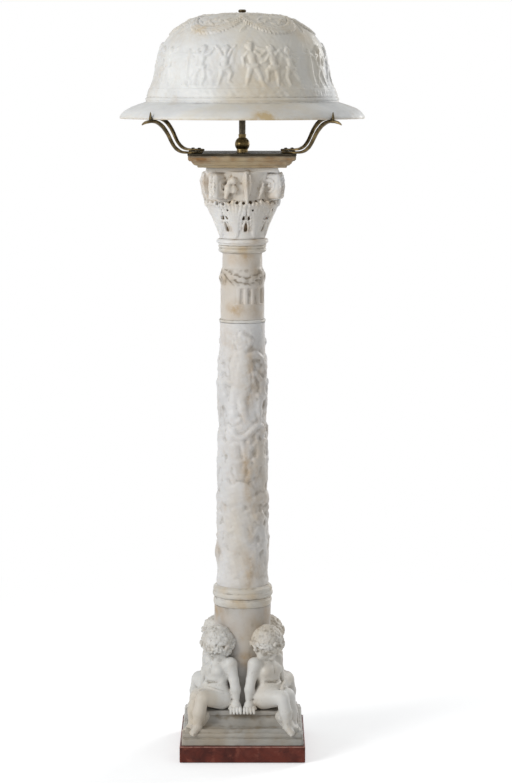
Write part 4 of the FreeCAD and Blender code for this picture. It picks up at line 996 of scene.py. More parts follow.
def make_shaft():
    z0, z1 = 413.6, 1060.0
    rows, cols = 404, 240
    z = np.linspace(z0, z1, rows)
    R = Relief(cols, z - z0, 60.0)
    V, P, d = R.V, around(cols, R.V, 60), R.d
    for k in range(3):
        c = 120 * k
        front = k == 0
        # drapery over the head of the tall child, folds beside it, and more below the ledge
        if not front:
            R.drape(c, [(-24, 498), (-22, 548), (2, 572), (36, 568), (62, 556)], 10, 3.0, 1.6)
            R.drape(c, [(-18, 560), (-15, 520), (-19, 478), (-24, 452)], 8, 3.0, 1.5)
            R.drape(c, [(24, 560), (21, 515), (30, 470), (26, 420)], 11, 3.4, 2.2)
            R.drape(c, [(6, 352), (2, 318), (12, 286), (6, 262)], 12, 3.2, 2.4)
        R.drape(c, [(44, 545), (50, 500), (42, 456), (52, 408)], 12, 2.6, 2.0)
        R.drape(c, [(-44, 352), (-50, 316), (-42, 282), (-48, 258)], 10, 3.0, 2.0)
        R.drape(c, [(34, 196), (20, 140), (28, 90), (18, 34)], 13, 2.6, 2.2)
        R.drape(c, [(-46, 196), (-38, 150), (-48, 100), (-40, 40)], 12, 2.4, 2.0)
        R.drape(c, [(-40, 196), (-6, 178), (34, 202)], 9, 2.2, 1.2)
        # degrees, foot, height, relief, stance of the first child, flip, seed, stoutness, drape
        for a, v, size, depth, stance, flip, seed, stout, draped in (
                (0, 392, 222, 5.8 if front else 7.2, -1, 1, 50, 1.05, not front),
                (-61, 400, 148, 6.4, 1, 1, 60, 1.12, True),
                (-22, 232, 164, 3.6 if front else 5.4, 2, -1, 65, 1.05, True),
                (50, 232, 166, 5.0, 0, 1, 68, 1.05, True),
                (-6, 22, 198, 2.6 if front else 5.0, 0, -1, 70, 1.0, True),
                (54, 30, 158, 4.6, 2, -1, 75, 1.05, True)):
            carve_child(R, (c + a) * d, v, size, depth, stance + k, flip, seed + k, stout, draped)
        if front:
            carve_front(R, z0)
        for a in (-36, 0, 36):
            R.limb(((c + a - 17) * d, 216 + 3 * math.sin(a)), ((c + a + 17) * d, 219), 15, 13, 5.4, 0, 1.6)
        rng = np.random.default_rng(80 + k)
        for i in range(12):
            a = c - 60 + 120 * i / 12
            rock(R, rng, a, 214, (-9, 9), 10, (4.0, 6.0))
            rock(R, rng, a, 10, (-5, 7), 11, (1.2, 2.6))
        for _ in range(16):
            R.egg((c + rng.uniform(-60, 60)) * d, rng.uniform(40, 620), rng.uniform(6, 12), rng.uniform(3.0, 5.5),
                  rng.uniform(0.5, 1.2), rng.uniform(0, PI), 0, 1.2)
    # long wear: the carving is rubbed soft
    R.wear(4)
    ends = ramp(V, 0, 6) * (1 - ramp(V, 638, 645))
    h = (R.h - 0.9 + 0.5 * wobble(P, 55, 5) + 0.28 * wobble(P, 15, 6)) * ends
    v = turn(np.stack([np.interp(z, [z0, z1], [63.0, 55.2]), z], 1) * MM, cols, h * MM)
    # painted shade: darker in the carving's hollows and over the right of the front, from 12 to 140 degrees; with
    # patchy dirt and two dark patches
    dirt = np.clip(hollow(R.h) * 0.36 - 0.02, 0, 0.34) + 0.10 * np.clip(wobble(P, 26, 9), 0, 1)
    side = R.degrees
    patch = 0.3 * np.exp(-((side + 78) / 9) ** 2 - ((V - 84) / 26) ** 2)
    dirt += 0.16 * ramp(side, 12, 60) * (1 - ramp(side, 100, 140)) + patch
    dirt += 0.4 * np.exp(-((side + 60) / 7) ** 2 - ((V - 430) / 20) ** 2)
    # the side away from the window has yellowed and darkened in long streaks
    streak = np.exp(-((side - 14 - 5 * np.sin(V / 70.0)) / 9.0) ** 2) * (0.5 + 0.5 * wobble(P, 90, 12)) * 0.5
    stain = blots(v, [(-45, -30, 1030, 30, 0.3), (30, -50, 905, 24, 0.45), (16, -60, 700, 26, 0.5),
                      (40, 30, 800, 40, 0.5), (46, -34, 620, 34, 0.45), (-40, 40, 560, 40, 0.5),
                      (24, -58, 470, 30, 0.4), (-60, -14, 500, 18, 0.5), (44, -38, 960, 40, 0.35),
                      (48, -34, 780, 40, 0.35)])
    stain += np.clip(streak, 0, 0.5).ravel()
    piece("shaft_carved", v, grid_faces(rows, cols), node="carved_shaft", slot="shaft_alabaster",
          mat=STONE["shaft"], dirt=dirt, stain=np.clip(stain, 0, 1))


def make_drum():
    """The short drum: neck above, garland, flutes and a plain band below."""
    z0, z1 = 1068.0, 1229.0
    rows, cols, flutes = 162, 240, 18
    z = np.linspace(z0, z1, rows)
    r = np.interp(z, [z0, 1150, 1158, 1176, 1188, 1194, z1 - 6, z1], [53, 53, 53.6, 54.2, 51.6, 48.6, 48.0, 48.4])
    R = Relief(cols, z, 53.0)
    V, P, d = R.V, around(cols, R.V, 53), R.d
    # flutes between flat fillets, their round ends worn, and all but gone on the left of the front
    pitch = 2 * PI / flutes
    side = ((R.phi[None] + pitch / 2) % pitch - pitch / 2) * 53.0
    across = np.clip(1 - (side / 5.8) ** 2, 0, 1)
    run = ramp(V, 1105, 1110) * (1 - ramp(V, 1142, 1147))
    worn = 1 - 0.88 * ramp(R.degrees, -110, -75) * (1 - ramp(R.degrees, -22, -6))
    flute = np.sqrt(across) * run * worn
    # garland of leaves and fruit in three swags
    rng = np.random.default_rng(14)
    for k in range(3):
        c = 120 * k + 8
        swag = ((-58, 1183), (-26, 1170), (6, 1163), (34, 1172), (60, 1184))
        line = spline([((c + a) * d, y) for a, y in swag], 6)
        for u, w in line:
            R.egg(u + rng.uniform(-2, 2), w + rng.uniform(-3, 3), rng.uniform(4.5, 7.5), rng.uniform(3.0, 5.0),
                  rng.uniform(1.6, 3.2), rng.uniform(-0.9, 0.9), 0, 1.0)
        for i in range(7):
            u, w = line[int((i + 0.5) * len(line) / 7)]
            for e in (-1, 1):
                a = rng.uniform(0.5, 1.2) * e
                R.limb((u, w), (u + 12 * math.cos(a + 0.5), w + 11 * math.sin(a)), 3.6, 1.2, 2.2, 0, 0.8)
        R.limb(((c - 52) * d, 1181), ((c - 22) * d, 1152), 5.0, 3.0, 2.6, 0, 1.0)
        R.drape(c, [(50, 1186), (56, 1170), (50, 1152)], 8, 2.6, 1.6, 5)
    R.wear(2, upright=False)
    garland = ramp(V, 1146, 1154) * (1 - ramp(V, 1188, 1196))
    h = R.h * garland - 3.1 * flute + 0.22 * wobble(P, 24, 4) * ramp(V, z0, z0 + 5) * (1 - ramp(V, z1 - 5, z1))
    v = turn(np.stack([r, z], 1) * MM, cols, h * MM)
    # painted shade: dark in the flutes and the garland's hollows, the garland's band darker all over, and darker at the
    # top and bottom edges; with patchy dirt in the garland
    dirt = np.clip(hollow(R.h) * 0.8, 0, 0.7) * garland + 0.5 * flute * (0.75 + 0.25 * wobble(P, 14, 3))
    dirt = dirt + 0.22 * garland
    ends = 0.2 * (1 - ramp(V, z0, z0 + 3)) + 0.25 * ramp(V, z1 - 4, z1)
    dirt += ends + 0.25 * garland * np.clip(wobble(P, 16, 8), 0, 1)
    stain = blots(v, [(-16, -50, 1092, 16, 0.9), (10, -46, 1222, 14, 0.8), (-24, -42, 1216, 12, 0.5),
                      (-36, -40, 1165, 14, 0.6), (44, -30, 1130, 20, 0.5), (36, -38, 1180, 14, 0.6),
                      (0, 52, 1100, 30, 0.6), (30, -44, 1090, 14, 0.5)])
    piece("drum_fluted", v, grid_faces(rows, cols), node="fluted_drum", slot="neck_alabaster",
          mat=STONE["neck"], dirt=np.clip(dirt, 0, 1.1), stain=np.clip(stain, 0, 1))


# Plain turned and squared stones

def ring(name, node, slot, mat, points, radius, grooves, seed, stains=()):
    """A turned ring, its edges rubbed round by up to the radius and its grooves painted dark as shade, with patchy
    dirt.
    """
    cols = 160
    p = dense(soft(points, radius), 1.6)
    probe = turn(p, cols)
    wear = 0.35 * wobble(probe, 40, seed) + 0.18 * wobble(probe, 11, seed + 1)
    inside = np.minimum(1, np.minimum(np.abs(probe[:, 2] - p[0, 1]), np.abs(probe[:, 2] - p[-1, 1])) / 2)
    v = turn(p, cols, wear * inside)
    dirt = sum(0.40 * np.exp(-((v[:, 2] - g) / 1.5) ** 2) for g in grooves) * (0.7 + 0.5 * wobble(v, 30, seed + 7))
    dirt += 0.2 * np.clip(wobble(v, 20, seed + 3), 0, 1)
    stain = blots(v * MM, stains) * 0.7 + 0.2 * np.clip(wobble(v, 46, seed + 5) - 0.2, 0, 1)
    piece(name, v * MM, grid_faces(len(p), cols), node=node, slot=slot, mat=mat,
          dirt=np.clip(dirt, 0, 1), stain=np.clip(stain, 0, 1))


def make_rings():
    ring("ring_capital", "capital_ring", "capital_alabaster", STONE["capital"],
         [(54, 1247.6), (57.5, 1247.7), (58.6, 1250.0), (58.6, 1252.2), (62.3, 1253.6), (62.5, 1259.6),
          (60.0, 1261.6), (56.2, 1263.3), (54, 1263.4)],
         1.6, (1247.8, 1252.4, 1263.2), 21, [(30, -54, 1256, 12, 0.5), (-20, -60, 1250, 8, 0.4)])
    ring("ring_neck", "neck_ring", "neck_alabaster", STONE["ring"],
         [(49, 1229.0), (53.0, 1229.3), (57.0, 1232.0), (58.5, 1235.5), (57.6, 1239.0), (55.2, 1240.4),
          (57.6, 1242.2), (58.4, 1245.0), (57.0, 1247.3), (50, 1247.6)],
         1.8, (1229.4, 1240.3, 1247.4), 25, [(6, -57, 1232, 16, 0.8), (-34, -46, 1240, 12, 0.5)])
    ring("ring_bead", "bead_ring", "shaft_alabaster", STONE["ring"],
         [(52, 1060.0), (54.5, 1060.2), (56.8, 1062.0), (57.0, 1065.0), (55.4, 1067.4), (52, 1068.0)],
         1.4, (1060.4, 1067.6), 29)
    ring("ring_shaft", "shaft_ring", "ring_alabaster", STONE["ring"],
         [(60, 384.7), (71.0, 385.0), (74.0, 389.0), (74.0, 396.0), (71.6, 398.6), (72.6, 401.0), (72.0, 407.6),
          (67.5, 411.0), (64.5, 413.5), (60, 413.6)],
         2.2, (385.2, 398.8, 411.6), 33, [(20, -70, 392, 14, 0.7), (-50, -50, 404, 14, 0.5)])
    ring("ring_drum", "drum_ring", "ring_alabaster", STONE["ring"],
         [(60, 363.4), (69.6, 363.5), (70.2, 367.0), (71.5, 369.5), (71.5, 378.0), (69.4, 380.6), (70.4, 384.4),
          (60, 384.7)],
         1.8, (363.8, 380.8, 384.4), 37, [(-10, -71, 372, 16, 0.7), (56, -42, 374, 12, 0.5)])


def make_plinth():
    """The square moulded plinth with edges worn by feet and mops."""
    p = [(147.75, 42.0), (147.75, 59.0), (143.4, 59.4), (146.2, 62.5), (146.25, 69.5), (143.0, 73.0), (137.75, 73.4),
         (137.75, 81.0), (134.6, 81.2)]
    p += [(98.25 + 36.4 * (1 - math.sin(a)), 81.2 + 23.4 * (1 - math.cos(a))) for a in np.linspace(0.12, PI / 2, 9)]
    p += [(102.25, 104.9), (102.25, 117.4), (60, 117.6)]
    v, quads, tris = squared(dense(soft(p, 3.2), 3.0), 3.5, 46,
                             lambda v: 0.7 * wobble(v, 60, 3) + 0.45 * wobble(v, 17, 4) - 0.6)
    # painted shade: dark in the grooves of the mouldings, most under the seat, with patchy dirt
    grooves = ((59.4, 2.2, 0.26), (73.2, 2.4, 0.24), (81.4, 3.2, 0.3), (102, 6.0, 0.45), (42.5, 1.5, 0.3))
    dirt = sum(much * np.exp(-((v[:, 2] - z) / wide) ** 2) for z, wide, much in grooves)
    dirt += 0.30 * np.clip(wobble(v, 30, 6), 0, 1) + 0.16 * np.clip(wobble(v, 70, 16), 0, 1)
    stain = blots(v * MM, [(20, -146, 66, 20, 0.5), (-60, -140, 50, 24, 0.4), (90, -147, 50, 18, 0.5),
                           (-20, -100, 110, 16, 0.4)])
    piece("plinth_worn", v * MM, quads, tris, node="plinth", slot="plinth_alabaster", mat=STONE["plinth"],
          dirt=np.clip(dirt, 0, 1), stain=np.clip(stain, 0, 1))


def make_lower_drum():
    """The plain drum behind the children, yellowed and streaked, and darker as painted shade between the children and
    towards the seat.
    """
    z0, z1 = 117.6, 363.4
    rows, cols = 84, 144
    z = np.linspace(z0, z1, rows)
    R = Relief(cols, z, 69.0)
    V, P = R.V, around(cols, R.V, 69)
    h = (0.35 * wobble(P, 70, 2) + 0.2 * wobble(P, 18, 3)) * ramp(V, z0, z0 + 4) * (1 - ramp(V, z1 - 4, z1)) - 0.3
    v = turn(np.stack([np.full(rows, 69.5), z], 1) * MM, cols, h * MM)
    streak = wobble(P * [1, 1, 0.22], 16, 6)
    # grey and brown streaks, and painted shade: darker between the children, towards the seat and under the ring above
    dirt = 0.20 * np.clip(streak, 0, 1) + 0.16 * np.clip(wobble(P, 34, 8), 0, 1)
    dirt = dirt + 0.30 * (1 - ramp(V, 150, 290)) + 0.22 * (1 - ramp(V, z0, z0 + 12))
    dirt += 0.35 * ramp(V, z1 - 5, z1)
    for k in range(4):
        away = np.abs((R.degrees + 45 - 90 * k + 180) % 360 - 180)
        dirt += 0.35 * np.exp(-(((away - 24) / 8) ** 2)) * (1 - ramp(V, 250, 320))
    stain = blots(v, [(-62, -30, 350, 22, 0.8), (6, -69, 238, 13, 0.9), (-30, -62, 300, 20, 0.3),
                      (34, -60, 320, 24, 0.3), (60, -34, 345, 18, 0.5), (20, 66, 300, 40, 0.5),
                      (-60, 34, 260, 30, 0.5)])
    piece("drum_lower", v, grid_faces(rows, cols), node="lower_drum", slot="drum_alabaster",
          mat=STONE["drum"], dirt=np.clip(dirt, 0, 0.9), stain=np.clip(stain, 0, 1))


def make_abacus():
    """The tan slab under the plate, darker along its upper edge under the brass, and its corners chipped."""
    p = [(100, 1436.0), (105.6, 1436.1), (106.8, 1440.4), (112.0, 1441.6), (117.5, 1446.4), (120.6, 1451.4),
         (125.6, 1452.4), (126.2, 1454.6), (128.0, 1455.6), (128.0, 1464.8), (100, 1465.0)]
    v, quads, tris = squared(dense(soft(p, 1.5), 1.5), 3.0, 60,
                             lambda v: 0.4 * wobble(v, 50, 8) + 0.3 * wobble(v, 12, 9) - 0.45)
    z = v[:, 2]
    # darker brown in a band under the brass, creamier on the moulding below; painted shade in the grooves and over the
    # right-hand side
    dirt = 0.85 * ramp(z, 1458.6, 1462.4) * (0.75 + 0.3 * wobble(v, 24, 2)) + 0.30 * np.exp(-((z - 1453.4) / 1.2) ** 2)
    dirt = dirt + 0.2 * np.clip(wobble(v, 15, 5), 0, 1)
    dirt += 0.3 * np.exp(-((z - 1440.8) / 1.2) ** 2) + 0.25 * ramp(v[:, 0], 40, 110)
    stain = blots(v * MM, [(-116, -126, 1458, 16, 1.1), (-92, -127, 1456, 8, 0.9), (-60, -127, 1460, 12, 0.8),
                           (-20, -127, 1457, 7, 0.7), (20, -127, 1460, 8, 0.8), (64, -127, 1458, 12, 0.9),
                           (110, -127, 1457, 12, 0.8), (90, -118, 1446, 14, 0.5)])
    piece("abacus_worn", v * MM, quads, tris, node="abacus_slab", slot="abacus_alabaster",
          mat=STONE["abacus"], dirt=np.clip(dirt, 0, 1), stain=np.clip(stain, 0, 1))


# Brass arms

def swept(line, sides=20):
    """A rounded bar along stations (distance from the axis, height, half thickness, half width), with closed ends."""
    a = np.array(line, float)
    t = np.gradient(a[:, :2], axis=0)
    t /= np.linalg.norm(t, axis=1, keepdims=True)
    n = np.stack([-t[:, 1], t[:, 0]], 1)
    w = np.arange(sides) * 2 * PI / sides
    # a little squarer than an ellipse
    cs, sn = (np.sign(x) * np.abs(x) ** 0.6 for x in (np.cos(w), np.sin(w)))
    rz = a[:, None, :2] + n[:, None, :] * (cs[None, :, None] * a[:, 2][:, None, None])
    side = sn[None, :] * a[:, 3][:, None]
    v = np.concatenate([rz[..., :1], side[..., None], rz[..., 1:]], -1).reshape(-1, 3)
    count = len(a) * sides
    v = np.vstack([v, [[a[0, 0], 0, a[0, 1]]], [[a[-1, 0], 0, a[-1, 1]]]])
    return v, grid_faces(len(a), sides), np.vstack([fan(0, sides, count), fan(count - sides, sides, count + 1, True)])


def smoothed(table, count):
    """Rows at an even pace on a smooth line through the rows of a table."""
    key = np.array(table, float)
    out = []
    for t in np.linspace(0, len(key) - 1, count):
        i = int(min(max(math.floor(t), 0), len(key) - 2))
        f = t - i
        a, b, c, e = key[max(i - 1, 0)], key[i], key[i + 1], key[min(i + 2, len(key) - 1)]
        out.append(0.5 * (2 * b + (c - a) * f + (2 * a - 5 * b + 4 * c - e) * f * f + (3 * b - a - 3 * c + e) * f**3))
    return out


# Distance from the axis, height, half thickness, half width
ARM = [(138.2, 1472.8, 2.8, 6.6), (150, 1473.0, 2.9, 7.2), (172, 1473.0, 2.9, 7.2), (184, 1473.1, 3.0, 6.4),
       (196, 1474.0, 3.2, 5.4), (208, 1477.2, 3.4, 4.8), (219, 1483.6, 3.5, 4.5), (228.5, 1493.0, 3.5, 4.4),
       (236.5, 1504.5, 3.6, 4.4), (244, 1516.0, 3.7, 4.6), (253, 1527.0, 3.9, 4.9), (264, 1537.0, 4.1, 5.4),
       (276, 1543.8, 4.0, 6.0), (289, 1547.0, 3.8, 6.6), (301, 1547.0, 3.8, 6.8), (312, 1545.4, 3.2, 5.6),
       (320, 1542.6, 2.2, 3.6), (326, 1539.6, 1.0, 1.6)]
# The spur that keeps the rim in its place
SPUR = [(299.6, 1547.0, 3.6, 3.6), (299.6, 1553.0, 3.5, 3.5), (299.5, 1557.0, 2.6, 3.0), (299.4, 1562.0, 1.9, 2.2),
        (299.4, 1566.6, 1.1, 1.3), (299.4, 1569.0, 0.4, 0.5)]
SCREW_HEAD = [(4.4, 1475.4), (4.4, 1476.4), (3.9, 1477.4), (2.8, 1478.0), (0.4, 1478.3)]


def join(parts):
    """One mesh from (points, quads, triangles) of several."""
    starts = np.cumsum([0] + [len(v) for v, _, _ in parts])
    return (np.vstack([v for v, _, _ in parts]), np.vstack([q + n for (_, q, _), n in zip(parts, starts)]),
            np.vstack([t + n for (_, _, t), n in zip(parts, starts)]))


def make_arms():
    v, quads, tris = join([swept(smoothed(ARM, 120)), swept(smoothed(SPUR, 26), 14)])
    r, z = v[:, 0], v[:, 2]
    for k, (a, where) in enumerate(zip(CORNERS, ("back_right", "back_left", "front_left", "front_right"))):
        hit = 0.22 * wobble(v, 15, 40 + k)
        y, up = v[:, 1] * (1 + 0.02 * hit), z + hit * (z < 1545) * (z > 1477)
        w = np.stack([r * math.cos(a) - y * math.sin(a), r * math.sin(a) + y * math.cos(a), up], 1)
        # painted highlight: brighter brass at the arm's foot by the plate's corner and at the tail's tip, with patchy
        # rubbed wear
        rub = 0.75 * np.exp(-((r - 178) / 9) ** 2) + 0.35 * np.exp(-((r - 322) / 8) ** 2)
        rub = rub + 0.25 * np.clip(wobble(v, 30, 44 + k), 0, 1)
        # a darker band on the pad where the shade's rim sits: painted shade; with patchy dirt
        dirt = 0.5 * np.clip(wobble(v, 22, 50 + k), 0, 1) + 0.4 * (z > 1549) * (z < 1553)
        piece("arm_curved_" + where, w * MM, quads, tris, node="arm_" + where, slot="arm_brass",
              mat=BRASS["arm"], sharp=70, rub=rub, dirt=np.clip(dirt, 0, 1))
    # low slotted screws on the feet of the arms
    sides, screws = 20, []
    for a in CORNERS:
        for place in (150.0, 172.0):
            h = turn(dense(SCREW_HEAD, 0.5), sides)
            slot = np.abs(h[:, 0] * math.sin(a + place) + h[:, 1] * math.cos(a + place)) < 0.6
            h[slot & (h[:, 2] > 1476.6), 2] -= 0.8
            n = len(h)
            h = np.vstack([h, [[0, 0, h[:, 2].max()]]]) + [place * math.cos(a), place * math.sin(a), 0]
            screws.append((h, grid_faces(n // sides, sides), fan(n - sides, sides, n)))
    v, quads, tris = join(screws)
    piece("screws_slotted", v * MM, quads, tris, node="arm_screws", slot="arm_brass",
          mat=BRASS["plate"], sharp=50)


make_shade()
make_shaft()
make_drum()
make_rings()
make_plinth()
make_lower_drum()
make_abacus()
make_arms()


# Seated children

def axes_to(forward, up=(0, 0, 1)):
    """Rows forward, side and up of a set of axes that looks along forward."""
    f = np.array(forward, float)
    f /= np.linalg.norm(f)
    s = np.cross(up, f)
    s /= np.linalg.norm(s)
    return np.array([f, s, np.cross(f, s)])


def sculpt_body(C, rng):
    """The body of a seated child, and the rough rock that carries its feet."""
    C.egg((91, 0, 138), (30, 40, 21), blend=8)
    C.egg((94, 0, 162), (31, 38, 32), blend=10)
    C.egg((86, 0, 204), (25, 34, 32), blend=14)
    C.limb((82, 0, 234), (84, 0, 254), 18, 17, blend=10)
    for e in (-1, 1):
        C.egg((102, e * 15, 212), (11, 15, 12), blend=9)
        C.egg((80, e * 36, 231), (15, 15, 14), blend=12)
        # arm, straight down to the edge of the seat
        C.limb((79, e * 40, 229), (78, e * 48, 194), 14.0, 12.0, blend=8)
        C.limb((78, e * 49, 190), (78, e * 54, 168), 12.2, 12.2, blend=4)
        C.limb((78, e * 54, 168), (79, e * 57, 146), 12.2, 8.6, blend=4)
        C.egg((81, e * 58, 132), (12, 12, 10), blend=4)
        n, t = np.array([0.707, e * 0.707, 0]), np.array([-0.707, e * 0.707, 0])
        palm = np.array([81, e * 58, 127.0])
        for j in (-1.5, -0.5, 0.5, 1.5):
            C.path([palm + t * j * 6.6 + n * 3, palm + t * j * 7.6 + n * 12 + (0, 0, -3),
                    palm + t * j * 8.0 + n * (19 - abs(j)) + (0, 0, -12)], [4.4, 3.9, 3.2], blend=0.9)
        C.path([palm - t * 9 + n * 1, palm - t * 15.5 + n * 8 + (0, 0, -3)], [4.4, 3.4], blend=1.6)
        # leg: a stout thigh along the seat, a chubby knee and a shin that hangs down; one leg is drawn back a little
        x = 1.0 if e > 0 else 0.94
        C.limb((96, e * 23, 146), (146 * x, e * 15, 152), 28.0, 19.5, blend=8)
        C.egg((153 * x, e * 15, 151), (15.5, 14.0, 16), blend=5)
        C.limb((154 * x, e * 15, 146), (163 * x, e * 14, 118), 16.0, 15.4, blend=4)
        C.limb((163 * x, e * 14, 118), (168 * x, e * 14, 92), 15.4, 10.6, blend=4)
        C.egg((167 * x, e * 14, 82), (12, 10.5, 10), blend=4)
        C.limb((168 * x, e * 14, 85), (180 * x, e * 15, 75), 10.4, 8.6, blend=4)
        C.egg((183 * x, e * 15, 72.5), (9.5, 10.5, 7.0), blend=3)
        for j in range(5):
            C.egg((190.5 * x - 1.1 * j, e * (15 - (j - 2) * 4.5), 70), (4.6, 2.7 + 0.8 * (j == 0), 3.8), blend=0.8)
        # creases at the groin, the knee and the wrist
        C.path([(100, e * 6, 139), (120, e * 20, 152), (114, e * 37, 156)], [1.6, 2.0, 1.2], blend=6, cut=True)
        C.path([(142, e * 2 + e * 14, 131), (148, e * 27, 136)], [1.2, 1.2], blend=4, cut=True)
        C.path([(88, e * 48, 146), (87, e * 61, 143)], [1.0, 1.0], blend=2.5, cut=True)
    # navel, and creases under the chest, over the belly and down the breastbone
    C.egg((127, 0, 164), (5, 3.4, 3.0), blend=3.5, cut=True)
    C.path([(107, -24, 187), (114, 0, 183.5), (107, 24, 187)], [1.8, 1.8, 1.8], blend=6, cut=True)
    C.path([(104, -30, 168), (118, 0, 160), (104, 30, 168)], [1.0, 1.2, 1.0], blend=6, cut=True)
    C.path([(111, 0, 224), (112, 0, 206)], [1.2, 0.8], blend=6, cut=True)
    for _ in range(34):
        w = rng.uniform(0, 1)
        rock = np.array([lerp(146, 186, w), rng.uniform(-16, 16) * lerp(1.0, 0.8, w),
                         lerp(112, 64, w) - rng.uniform(0, 7)])
        C.egg(rock, rng.uniform(6, 11, 3), blend=3.5)
    C.limb((136, 0, 104), (176, 0, 62), 17, 15, blend=5)


def sculpt_head(C, rng, look, nod, roll):
    """A generic calm child's face on plain proportions, and a mass of curls."""
    c = np.array([85.0, 0, 281.0])
    A = axes_to((math.cos(nod) * math.cos(look), math.cos(nod) * math.sin(look), -math.sin(nod)),
                (0, math.sin(roll), math.cos(roll)))
    f, s, u = A

    def at(x, y, z):
        return c + x * f + y * s + z * u

    C.egg(c, (38, 35, 37), A, blend=6)
    C.egg(at(13, 0, 9), (26, 28, 24), A, blend=8)
    C.egg(at(12, 0, -16), (27, 27, 26), A, blend=8)
    C.egg(at(25, 0, -36), (9, 10, 8), A, blend=8)
    for e in (-1, 1):
        C.egg(at(23, e * 15, -19), (12, 13, 13), A, blend=7)
        C.egg(at(39, e * 13, -3), (6, 9, 6.5), A, blend=6, cut=True)
        C.egg(at(30.5, e * 13, -4), (7, 7.2, 6.6), A, blend=1.5)
        C.path([at(37, e * 6.5, -2.5), at(38, e * 12, 0.8), at(34, e * 20, -1.5)], [1.4, 1.7, 1.3], blend=1.5)
        C.path([at(36.5, e * 7, -7), at(37, e * 13, -9), at(33.5, e * 19, -7)], [1.0, 1.3, 1.0], blend=1.5)
        C.egg(at(40.5, e * 4.2, -15), (4, 3.2, 3.2), A, blend=2)
        C.egg(at(0, e * 36, -9), (7, 4, 11), A, blend=2)
    C.path([at(38, 0, -2), at(43, 0, -13.5)], [3.4, 4.2], blend=4)
    C.egg(at(38.5, 0, -22), (4, 7.5, 2.6), A, blend=2)
    C.egg(at(37.0, 0, -27), (4, 6.2, 3.0), A, blend=2)
    C.path([at(40, -8, -24.4), at(42.5, 0, -24.6), at(40, 8, -24.4)], [0.8, 1.0, 0.8], blend=1.5, cut=True)

    # hair: a cap of low worn locks, with fuller curls along its edge
    locks = 150
    for i in range(locks):
        # evenly spread directions, in the head's axes
        w = 1 - 2 * (i + 0.5) / locks
        q = PI * (1 + 5**0.5) * i
        d = np.array([math.sqrt(1 - w * w) * math.cos(q), math.sqrt(1 - w * w) * math.sin(q), w])
        d += rng.normal(0, 0.05, 3)
        d /= np.linalg.norm(d)
        face = d[0] - 0.34 - 0.95 * max(0.0, d[2] + 0.02)
        if face > 0 or d[2] < -0.66:
            continue
        k = d @ A
        t1 = np.cross(k, (0.3, 0.2, 1.0))
        t1 /= np.linalg.norm(t1)
        t2 = np.cross(k, t1)
        centre = at(*(d * (35.6 + rng.uniform(-1.0, 1.4)) * np.array([1.0, 0.96, 1.0])))
        size = rng.uniform(7.8, 9.6)
        C.egg(centre, (size, size * rng.uniform(0.75, 1.0), size * 0.72), np.array([t1, t2, k]), blend=1.4)
        start, hand = rng.uniform(0, 2 * PI), rng.choice([-1, 1])

        def coil(out, rise, wide, narrow, pace):
            turns = [start + hand * m * pace for m in range(6)]
            return [centre + k * (out + rise * m) + (wide - narrow * m) * (math.cos(a) * t1 + math.sin(a) * t2)
                    for m, a in enumerate(turns)]

        if face > -0.30 or d[2] < -0.40:
            C.path(coil(5.0, 0.5, 8.0, 1.3, 0.9), [3.3, 3.3, 3.2, 3.0, 2.8, 2.6], blend=1.0)
        else:
            C.path(coil(6.4, 0.0, 6.6, 0.9, 0.8), [1.7] * 6, blend=1.2, cut=True)


def sculpt_child(seed, look, nod, roll, sash, radius):
    """A seated child in its own frame: outwards along the plinth's diagonal, across, and up."""
    rng = np.random.default_rng(seed)
    C = Clay((28, -90, 56), (216, 90, 338))
    sculpt_body(C, rng)
    sculpt_head(C, rng, look, nod, roll)
    p = spline(sash, 9.0)
    for off in (-1.6, -0.5, 0.6, 1.7):
        q = [a + np.array([0, 0, 1.0]) * off * radius * 0.75
             + np.array([0.6, 0, 0]) * off * (2.2 + 1.2 * math.sin(i * 0.9 + off)) for i, a in enumerate(p)]
        C.path(q, [radius * (0.8 + 0.2 * math.sin(i * 1.3 + off * 2)) for i in range(len(q))], blend=1.5)
    return C


